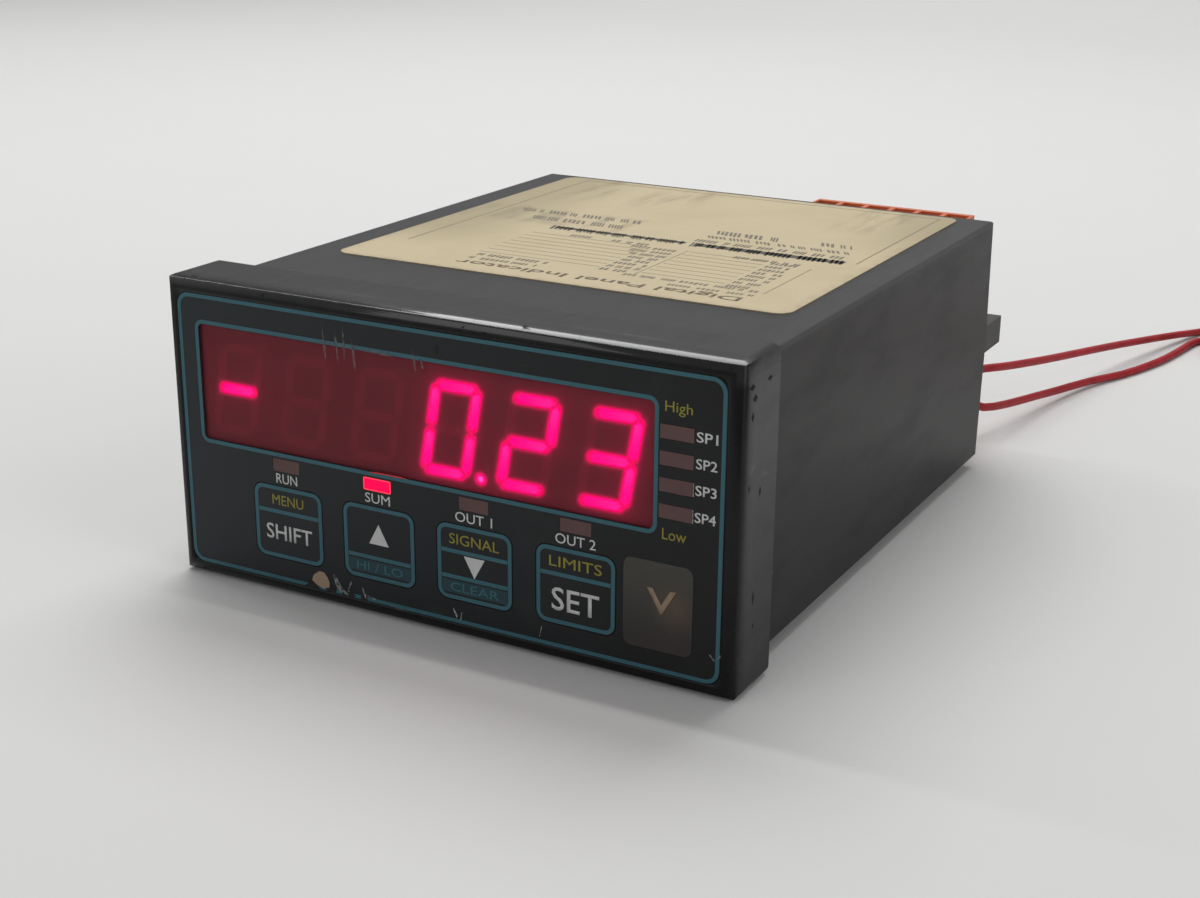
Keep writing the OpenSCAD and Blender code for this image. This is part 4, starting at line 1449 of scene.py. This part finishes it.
    def build(self) -> None:
        """Dresses the display."""
        self.segments(LitPlastic().material("lit_segment"))
        self.backing(Backing().material("digit_backing"))
        red = Pane((0.080, 0.014, 0.017), (0.060, 0.012, 0.015), 0.14)
        dress(red.material("red_filter"), "display_window")
        face = Moulded((0.12, 0.045, 0.05), 0.5, 0.2, 0.1).material("digit_face")
        dress(face, *(f"digit_{number}" for number in range(1, DIGITS + 1)))
        unlit = Moulded((0.24, 0.055, 0.065), 0.35, 0.3, 0.05)
        dress(unlit.material("unlit_segment"), "segments_dark")
        dress(Moulded((0.13, 0.022, 0.028), 0.6).material("carrier"), "display_carrier")


# ------------------------------------------------------------------ front print


class Colour(Enum):
    """The inks of the front."""

    TEAL = (0.034, 0.122, 0.150)
    DIM_TEAL = (0.013, 0.046, 0.059)
    WHITE = (0.58, 0.59, 0.58)
    YELLOW = (0.27, 0.235, 0.032)
    TAN = (0.30, 0.215, 0.14)


@dataclass
class FrontPrint:
    """Everything printed on the film: frames, captions and legends."""

    face_y: float = 0.1
    thickness: float = 0.02
    line: float = 0.6
    key_pitch: float = 16.6
    keys_x: float = -1.6
    keys_z: float = -12.2
    arrow_half_w: float = 1.75
    arrow_half_h: float = 1.6
    film_frame: tuple = (90.6, 42.8, 1.8)
    window_frame: tuple = (77.7, 18.8, 1.2)
    window_at: tuple = (-3.35, 8.1)
    key_frame: tuple = (11.9, 11.0, 1.3)
    divider_w: float = 11.15
    legend_divider_z: float = 1.7
    foot_divider_z: float = -2.3
    foot_strip: tuple = (11.1, 2.0, -3.85)
    legend_z: float = 3.6
    caption_z: float = -5.05
    captions: tuple = (("RUN", 3.9), ("SUM", 4.4), ("OUT 1", 6.2), ("OUT 2", 6.4))
    alarm_x: float = 42.9
    alarm_z: tuple = (13.2, 9.5, 5.8, 2.0)
    keys: tuple = (("MENU", "SHIFT", (8.6, 2.5, -13.85), ""), ("", "up", (0, 0, -10.7), "HI / LO"),
                   ("SIGNAL", "down", (0, 0, -12.6), "CLEAR"),
                   ("LIMITS", "SET", (7.6, 3.5, -14.25), ""))
    inks: dict = field(default_factory=dict)

    def ink(self, colour: Colour) -> bpy.types.Material:
        """Gives the material of an ink, made once.

        Args:
            colour: the ink.

        Returns:
            Its material.
        """
        if colour not in self.inks:
            self.inks[colour] = Ink(colour.value, 0.14).material(f"{colour.name.lower()}_ink")
        return self.inks[colour]

    def print(self, name: str, shape: Shape, colour: Colour, body: Body = Body.METER) -> None:
        """Lays a flat shape on the film.

        Args:
            name: the piece's name.
            shape: the flat shape, in place across the front.
            colour: its ink.
            body: the body that it rides on.
        """
        shape.thicken(self.thickness).moved(y=self.face_y - self.thickness)
        piece(shape.mesh(name), body, self.ink(colour))

    def key_x(self, number: int) -> float:
        """Gives the middle of a key, counted from 1."""
        return self.keys_x + (number - (len(KEY_BODIES) + 1) / 2) * self.key_pitch

    def frames(self) -> None:
        """Prints the frame round the film and the one round the display."""
        frames = Shape().ring(*self.film_frame, self.line)
        self.print("front_frame", frames, Colour.TEAL)
        x, z = self.window_at
        window = Shape().ring(*self.window_frame, self.line).moved(x, 0, z)
        self.print("window_frame", window, Colour.TEAL)

    def small_words(self) -> None:
        """Prints the small white captions and the yellow words beside the alarm bars."""
        words = Shape()
        for number, (text, width) in enumerate(self.captions, 1):
            words.join(lettering(text, width, 1.5).moved(self.key_x(number), 0, self.caption_z))
        for number, z in enumerate(self.alarm_z, 1):
            words.join(lettering(f"SP{number}", 3.1, 1.45, 0.012).moved(self.alarm_x, 0, z))
        self.print("white_captions", words, Colour.WHITE)
        yellow = lettering("High", 4.0, 1.9).moved(38.7, 0, 16.5)
        yellow.join(lettering("Low", 3.6, 1.6).moved(38.4, 0, -1.2))
        self.print("yellow_captions", yellow, Colour.YELLOW)

    def key(self, number: int, legend: str, word: str, word_size: tuple, foot: str) -> None:
        """Prints one key: its frame, the yellow legend, the word or arrow and the dim foot.

        Args:
            number: the key, counted from 1.
            legend: the yellow word over the divider, or nothing.
            word: the white word, or up or down for an arrow.
            word_size: the word's width, height and middle, up.
            foot: the word in the dim foot, or nothing.
        """
        x, body = self.key_x(number), KEY_BODIES[number - 1]
        frame_shape = Shape().ring(*self.key_frame, self.line)
        for text, height in ((legend, self.legend_divider_z), (foot, self.foot_divider_z)):
            if text:
                frame_shape.join(Shape().bar(self.divider_w, self.line, height))
        self.print(f"key_{number}_frame", frame_shape.moved(x, 0, self.keys_z), Colour.TEAL, body)
        if foot:
            strip = Shape().bar(*self.foot_strip)
            self.print(f"key_{number}_foot", strip.moved(x, 0, self.keys_z), Colour.DIM_TEAL, body)
            z = self.keys_z + self.foot_strip[2]
            text = lettering(foot, 8.2, 1.35).moved(x, -0.012, z)
            self.print(f"key_{number}_foot_word", text, Colour.TEAL, body)
        if legend:
            text = lettering(legend, 1.3 * len(legend) + 0.6, 1.6)
            text.moved(x, 0, self.keys_z + self.legend_z)
            self.print(f"key_{number}_legend", text, Colour.YELLOW, body)
        if word in ("up", "down"):
            z, tall = word_size[2], self.arrow_half_h if word == "up" else -self.arrow_half_h
            mark = Shape().polygon([(x - self.arrow_half_w, z - tall),
                                    (x + self.arrow_half_w, z - tall), (x, z + tall)])
        else:
            mark = lettering(word, word_size[0], word_size[1], 0.008).moved(x, 0, word_size[2])
        self.print(f"key_{number}_mark", mark, Colour.WHITE, body)

    def units(self) -> None:
        """Prints the worn letter on the units card, seen through its window."""
        letter = lettering("V", 4.4, 3.6, 0.012).moved(36.65, 0, -11.2)
        letter.thicken(self.thickness).moved(y=self.face_y - self.thickness)
        worn = Ink(Colour.TAN.value, 0.8, (0.06, 0.05, 0.04)).material("worn_tan_ink")
        piece(letter.mesh("units_letter"), Body.METER, worn)

    def build(self) -> None:
        """Prints the whole front."""
        self.frames()
        self.small_words()
        for number, key in enumerate(self.keys, 1):
            self.key(number, *key)
        self.units()


@dataclass
class FrontWear:
    """Scratches, chips and glue marks on the film and the bezel."""

    face_y: float = 0.08
    thickness: float = 0.012
    seed: int = 7
    scratch_stops: tuple = (0.0, 0.2, 0.45, 0.7, 0.88, 1.0)
    blot_points: int = 11
    faint_marks: tuple = (
        ((-20.5, 17.5), (-12.2, 17.2), 0.9), ((-12.6, 17.4), (-6.0, 17.3), 0.7),
        ((-18.6, 19.8), (-18.2, 15.0), 0.5), ((-16.4, 19.2), (-15.9, 14.6), 0.6),
        ((-15.0, 20.2), (-14.8, 15.6), 0.4), ((-13.4, 18.6), (-13.0, 13.8), 0.5),
        ((-3.0, 18.8), (-2.5, 15.4), 0.5), ((-1.8, 17.8), (-1.3, 16.0), 0.4),
        ((-12.0, -21.4), (-4.0, -21.9), 0.2))
    bright_marks: tuple = (
        ((-18.6, -18.6), (-17.0, -21.4), 0.9), ((-17.4, -20.6), (-15.8, -21.6), 0.8),
        ((-15.9, -21.2), (-15.2, -19.2), 0.45), ((-13.2, -19.6), (-12.6, -21.4), 0.55),
        ((-12.4, -20.8), (-10.8, -21.2), 0.5), ((3.0, -19.4), (3.6, -21.0), 0.5),
        ((4.5, -19.8), (4.2, -21.2), 0.25), ((17.5, -20.9), (17.9, -18.9), 0.22),
        ((44.0, -17.2), (44.9, -18.1), 0.3), ((44.9, -18.1), (46.0, -16.9), 0.3))
    worn_spots: tuple = ((-22.4, 3.4), (-19.0, 2.6), (-15.8, 3.0), (-12.9, 2.0))

    def _scratch(self, rng: random.Random, start: tuple, end: tuple, width: float) -> list:
        """Gives the outline of a thin scratch whose width wanders to nothing at its ends.

        Args:
            rng: the source of its unevenness.
            start: where it starts, across and up.
            end: where it ends.
            width: its greatest width.

        Returns:
            The corners, across and up.
        """
        a, b = Vector(start), Vector(end)
        run = b - a
        n = Vector((-run.y, run.x)).normalized()
        stops = self.scratch_stops
        near = [a + run * s + n * (width / 2 * rng.uniform(0.3, 1.0) * (0 < s < 1)) for s in stops]
        far = [a + run * s - n * (width / 2 * rng.uniform(0.3, 1.0)) for s in stops[-2:0:-1]]
        return [(p.x, p.y) for p in near + far]

    def _blot(self, rng: random.Random, x: float, z: float, w: float, h: float) -> list:
        """Gives the outline of a ragged blot.

        Args:
            rng: the source of its raggedness.
            x: its middle across.
            z: its middle, up.
            w: its width.
            h: its height.

        Returns:
            The corners, across and up.
        """
        angles = [2 * math.pi * k / self.blot_points for k in range(self.blot_points)]
        return [(x + w / 2 * rng.uniform(0.55, 1.0) * math.cos(angle),
                 z + h / 2 * rng.uniform(0.55, 1.0) * math.sin(angle)) for angle in angles]

    def _lay(self, name: str, shape: Shape, ink: Ink, lift: float = 0.0) -> None:
        """Lays marks on the film.

        Args:
            name: the piece's name.
            shape: the flat marks, in place across the front.
            ink: what they look like.
            lift: how far they lie over the print.
        """
        shape.thicken(self.thickness).moved(y=self.face_y - self.thickness - lift)
        piece(shape.mesh(name), Body.METER, ink.material(name))

    def build(self) -> None:
        """Lays the marks."""
        rng = random.Random(self.seed)
        faint, bright = Shape(), Shape()
        for start, end, width in self.faint_marks:
            faint.polygon(self._scratch(rng, start, end, width))
        for start, end, width in self.bright_marks:
            bright.polygon(self._scratch(rng, start, end, width))
        for z in (5.8, 2.0):
            bright.bar(0.16, 1.9, z, 41.1)
        self._lay("faint_scratches", faint, Ink((0.20, 0.20, 0.20), 0.5, cover=0.42), 0.03)
        self._lay("bright_scratches", bright, Ink((0.34, 0.34, 0.33), 0.6, cover=0.95), 0.03)
        worn = Shape()
        for x, w in self.worn_spots:
            worn.polygon(self._blot(rng, x, -21.4, w, 1.5))
        self._lay("worn_line", worn, Ink((0.010, 0.011, 0.012), 0.2), 0.022)
        glue = Shape().polygon(self._blot(rng, -20.8, -20.2, 3.9, 3.2))
        self._lay("old_glue", glue, Ink((0.33, 0.24, 0.16), 0.5, (0.05, 0.04, 0.03), 1.6), 0.026)
        dark = Shape().polygon(self._blot(rng, 1.0, 19.0, 0.9, 1.7))
        self._lay("dark_chip", dark, Ink((0.002, 0.002, 0.002), 0.1), 0.03)


# ------------------------------------------------------------------ indicators and film


@dataclass
class FrontFilm:
    """The film, the small windows and what shows through them."""

    light_y: float = 0.065
    light_depth: float = 0.015
    lit_at: tuple = (-9.9, -2.9)
    lit: tuple = (1.0, 0.0, 0.075)
    lit_edge: tuple = (1.0, 0.05, 0.085)

    def build(self) -> None:
        """Dresses the film's nodes."""
        dress(FilmFace().material("dark_film"), "front_overlay", "key_1", "key_2", "key_3", "key_4")
        smoked = Pane((0.130, 0.072, 0.067), (0.115, 0.064, 0.060))
        dress(smoked.material("smoked_pane"), "indicator_windows")
        dress(UnitsCard(alpha=0.9).material("units_pane"), "units_window")
        dress(UnitsCard().material("legend_card"), "units_card")
        unlit = Moulded((0.09, 0.052, 0.048), 0.5, 0.6, 0.0).material("unlit_bar")
        dress(unlit, "status_led_1", "status_led_3", "status_led_4", "alarm_leds")
        dress(LitPlastic(*[self.lit] * 3).material("lit_bar"), "status_led_2")
        x, z = self.lit_at
        flood = Shape().bar(4.6, 1.75, z, x)
        self._light("lit_face", flood, LitPlastic(*[self.lit] * 3, 1.1).material("flooded_face"))
        rim = Shape().ring(4.65, 1.8, 0.2, 0.2).moved(x, -0.005, z)
        self._light("lit_rim", rim, LitPlastic(*[self.lit_edge] * 3, 1.2).material("bright_rim"))
        streak = Shape().polygon([(-11.3, -1.12), (-8.4, -1.02), (-4.4, -1.0), (-5.6, -0.82),
                                  (-9.8, -0.85)])
        self._light("stray_light", streak, Ink((0.75, 0.02, 0.03), 0.1).material("stray"))

    def _light(self, name: str, shape: Shape, material: bpy.types.Material) -> None:
        """Lays a thin lit shape on the film.

        Args:
            name: the piece's name.
            shape: the flat shape, in place across the front.
            material: its light.
        """
        shape.thicken(self.light_depth).moved(y=self.light_y)
        piece(shape.mesh(name), Body.METER, material)


# ------------------------------------------------------------------ case and back


@dataclass
class Housing:
    """The case, the rear panel, its screws and the terminals."""

    def build(self) -> None:
        """Dresses the housing."""
        plastic = CasePlastic().material("black_case")
        smooth_copy("case", "moulded_case", Body.METER, plastic)
        rear = Moulded((0.027, 0.027, 0.029), 0.5, 0.3, 0.25)
        dress(rear.material("rear_plastic"), "rear_panel")
        steel = Metal().material("plated_screw")
        smooth_copy("rear_screws", "panel_screws", Body.METER, steel)
        orange = Moulded((0.62, 0.135, 0.035), 0.42, 0.4, 0.2).material("orange_terminal")
        dress(orange, "relay_plug", "supply_plug", "relay_header", "supply_header")
        black = Moulded((0.022, 0.022, 0.023), 0.45).material("black_terminal")
        dress(black, "signal_plug", "signal_header")
        dress(steel, "relay_plug_screws", "supply_plug_screws")


@dataclass
class TopLabel:
    """The aged label on top: ruled tables, rows of faded print and a plain title."""

    surface_z: float = 22.15
    thickness: float = 0.02
    rule_count: int = 8
    rule_step: float = 2.4
    rule_width: float = 0.16
    seed: int = 11
    paper: tuple = (0.45, 0.37, 0.24)
    frame_lines: tuple = (
        (36.8, 37.1, 67.0, 108.0), (-35.2, -34.9, 46.0, 108.0), (-35.0, 37.0, 107.7, 108.0),
        (32.0, 32.2, 41.5, 60.0), (9.4, 9.6, 43.0, 62.0))
    small_rows: tuple = (
        (8.0, 32.0, 42.1, 1.3), (-19.0, -5.0, 42.4, 1.6), (-19.0, -6.0, 39.8, 1.3),
        (17.0, 31.5, 39.6, 1.0), (7.0, 34.0, 69.8, 2.0), (-13.0, -8.0, 62.5, 1.4),
        (-5.0, 3.0, 62.4, 1.6), (18.0, 30.0, 61.5, 1.5))
    large_rows: tuple = (
        (-31.0, -6.0, 77.5, 2.6), (-26.0, -7.0, 72.4, 2.8), (8.0, 20.0, 77.0, 3.0),
        (27.0, 33.0, 77.6, 2.6), (8.0, 34.0, 73.4, 1.8))

    @staticmethod
    def _bar(shape: Shape, x0: float, x1: float, y0: float, y1: float,
             slant: float = 0.0) -> None:
        """Adds a level rectangle, given in x and y, whose rear end may slant to the left."""
        corners = [(x0, y0), (x1, y0), (x1 - slant, y1), (x0 - slant, y1)]
        shape.bm.faces.new([shape.bm.verts.new((x, y, 0)) for x, y in corners])

    def _row(self, shape: Shape, rng: random.Random, x0: float, x1: float, y: float,
             height: float, slant: float = 0.0) -> None:
        """Adds a row of short strokes, like words that are too small to read.

        Args:
            shape: the shape that takes the strokes.
            rng: the source of the strokes' lengths.
            x0: the row's left end.
            x1: its right end.
            y: its middle behind the face.
            height: its height.
            slant: how far a stroke's rear end leans to the left.
        """
        x = x0
        while x < x1:
            w = rng.uniform(0.45, 0.9)
            for _ in range(rng.randint(2, 6)):
                if x + w > x1:
                    break
                low = rng.uniform(0.3, 0.5) * height
                self._bar(shape, x, x + w * 0.62, y - low, y + height / 2, slant)
                x += w
            x += rng.uniform(0.4, 1.2)

    def _rules(self) -> Shape:
        """Draws the frame lines and the two ruled tables.

        Returns:
            The flat lines.
        """
        lines = Shape()
        for x0, x1, y0, y1 in self.frame_lines:
            self._bar(lines, x0, x1, y0, y1)
        for row in range(self.rule_count):
            y = 44.5 + row * self.rule_step
            self._bar(lines, -20.0, 2.4, y, y + self.rule_width)
            self._bar(lines, 10.0, 24.2, y, y + self.rule_width)
        return lines

    def _rows(self, rng: random.Random) -> Shape:
        """Draws the columns and rows of small print.

        Args:
            rng: the source of the strokes' lengths.

        Returns:
            The flat strokes.
        """
        words = Shape()
        for row in range(self.rule_count):
            y = 43.6 + row * self.rule_step
            self._row(words, rng, 25.0, 30.2, y, 1.5)
            self._row(words, rng, 3.0 - 1.1 * max(0, row - 4), 9.0, y, 1.5)
        for x0, x1, y, height in self.small_rows:
            self._row(words, rng, x0, x1, y, height)
        for x0, x1, y, height in self.large_rows:
            self._row(words, rng, x0, x1, y, height, 0.9)
        return words

    def _lay(self, name: str, shape: Shape, ink: Ink) -> None:
        """Thickens a flat shape upwards and lays it on the paper."""
        shape.thicken(up=self.thickness).moved(z=self.surface_z)
        piece(shape.mesh(name), Body.METER, ink.material(f"{name}_ink"))

    def build(self) -> None:
        """Dresses the label and prints on it."""
        dress(LabelPaper().material("aged_paper"), "top_label")
        rng = random.Random(self.seed)
        self._lay("label_rules", self._rules(), Ink((0.25, 0.21, 0.135), 0.8, self.paper))
        self._lay("label_rows", self._rows(rng), Ink((0.15, 0.135, 0.10), 0.95, self.paper))
        bars = Shape()
        self._row(bars, rng, -19.0, 7.0, 66.6, 2.9, 0.5)
        self._row(bars, rng, 8.0, 35.5, 66.6, 3.1, 0.5)
        self._bar(bars, -18.5, 6.5, 66.4, 67.6)
        self._bar(bars, 8.5, 35.0, 65.8, 67.8)
        self._lay("label_bars", bars, Ink((0.055, 0.048, 0.038), 0.75, self.paper))
        title = lettering("Digital Panel Indicator", 50.0, 3.0, 0.01)
        title.turned(180).turned(-90, "X").moved(5.5, 37.0, 0)
        self._lay("label_title", title, Ink((0.12, 0.085, 0.05), 0.7, self.paper))


@dataclass
class Inside:
    """What the closed case holds."""

    def build(self) -> None:
        """Dresses the inner pieces."""
        mask = BoardMask().material("solder_mask")
        dress(mask, "display_board", "power_board", "signal_board")
        chip = Moulded((0.02, 0.02, 0.022), 0.5).material("chip_plastic")
        dress(chip, "board_links", "processor", "converter_chips", "plunger_1", "plunger_2",
              "plunger_3", "plunger_4")
        switch = Metal((0.5, 0.5, 0.5), 0.38).material("switch_cover")
        for number in range(1, 5):
            dress(switch, f"tact_switch_{number}")
            cover = Moulded((0.03, 0.13, 0.36), 0.3).material(f"relay_cover_{number}")
            dress(cover, f"relay_{number}")
        dress(Moulded((0.03, 0.05, 0.10), 0.4).material("potting_box"), "transformer")
        sleeve = Moulded((0.012, 0.02, 0.09), 0.25).material("capacitor_sleeve")
        dress(sleeve, "filter_capacitors")


# ------------------------------------------------------------------ all of it


def main() -> None:
    """Builds the studio, the cords and every sub-assembly in order."""
    logging.basicConfig(level=logging.INFO, format="%(message)s")
    Studio().build()
    skin = WireSkin().material("red_insulation")
    tinned = Metal((0.66, 0.64, 0.6), 0.3).material("tinned_strands")
    SupplyWire(1, WIRE_1_ROUTE, (86.0, 176.5)).build(skin, tinned)
    SupplyWire(2, WIRE_2_ROUTE, (80.0, 152.0)).build(skin, tinned)
    for assembly in (Housing(), FrontFilm(), Display(), FrontPrint(), FrontWear(), TopLabel(),
                     Inside()):
        assembly.build()
        LOG.info("%s done", type(assembly).__name__)


if __name__ == "__main__":
    main()
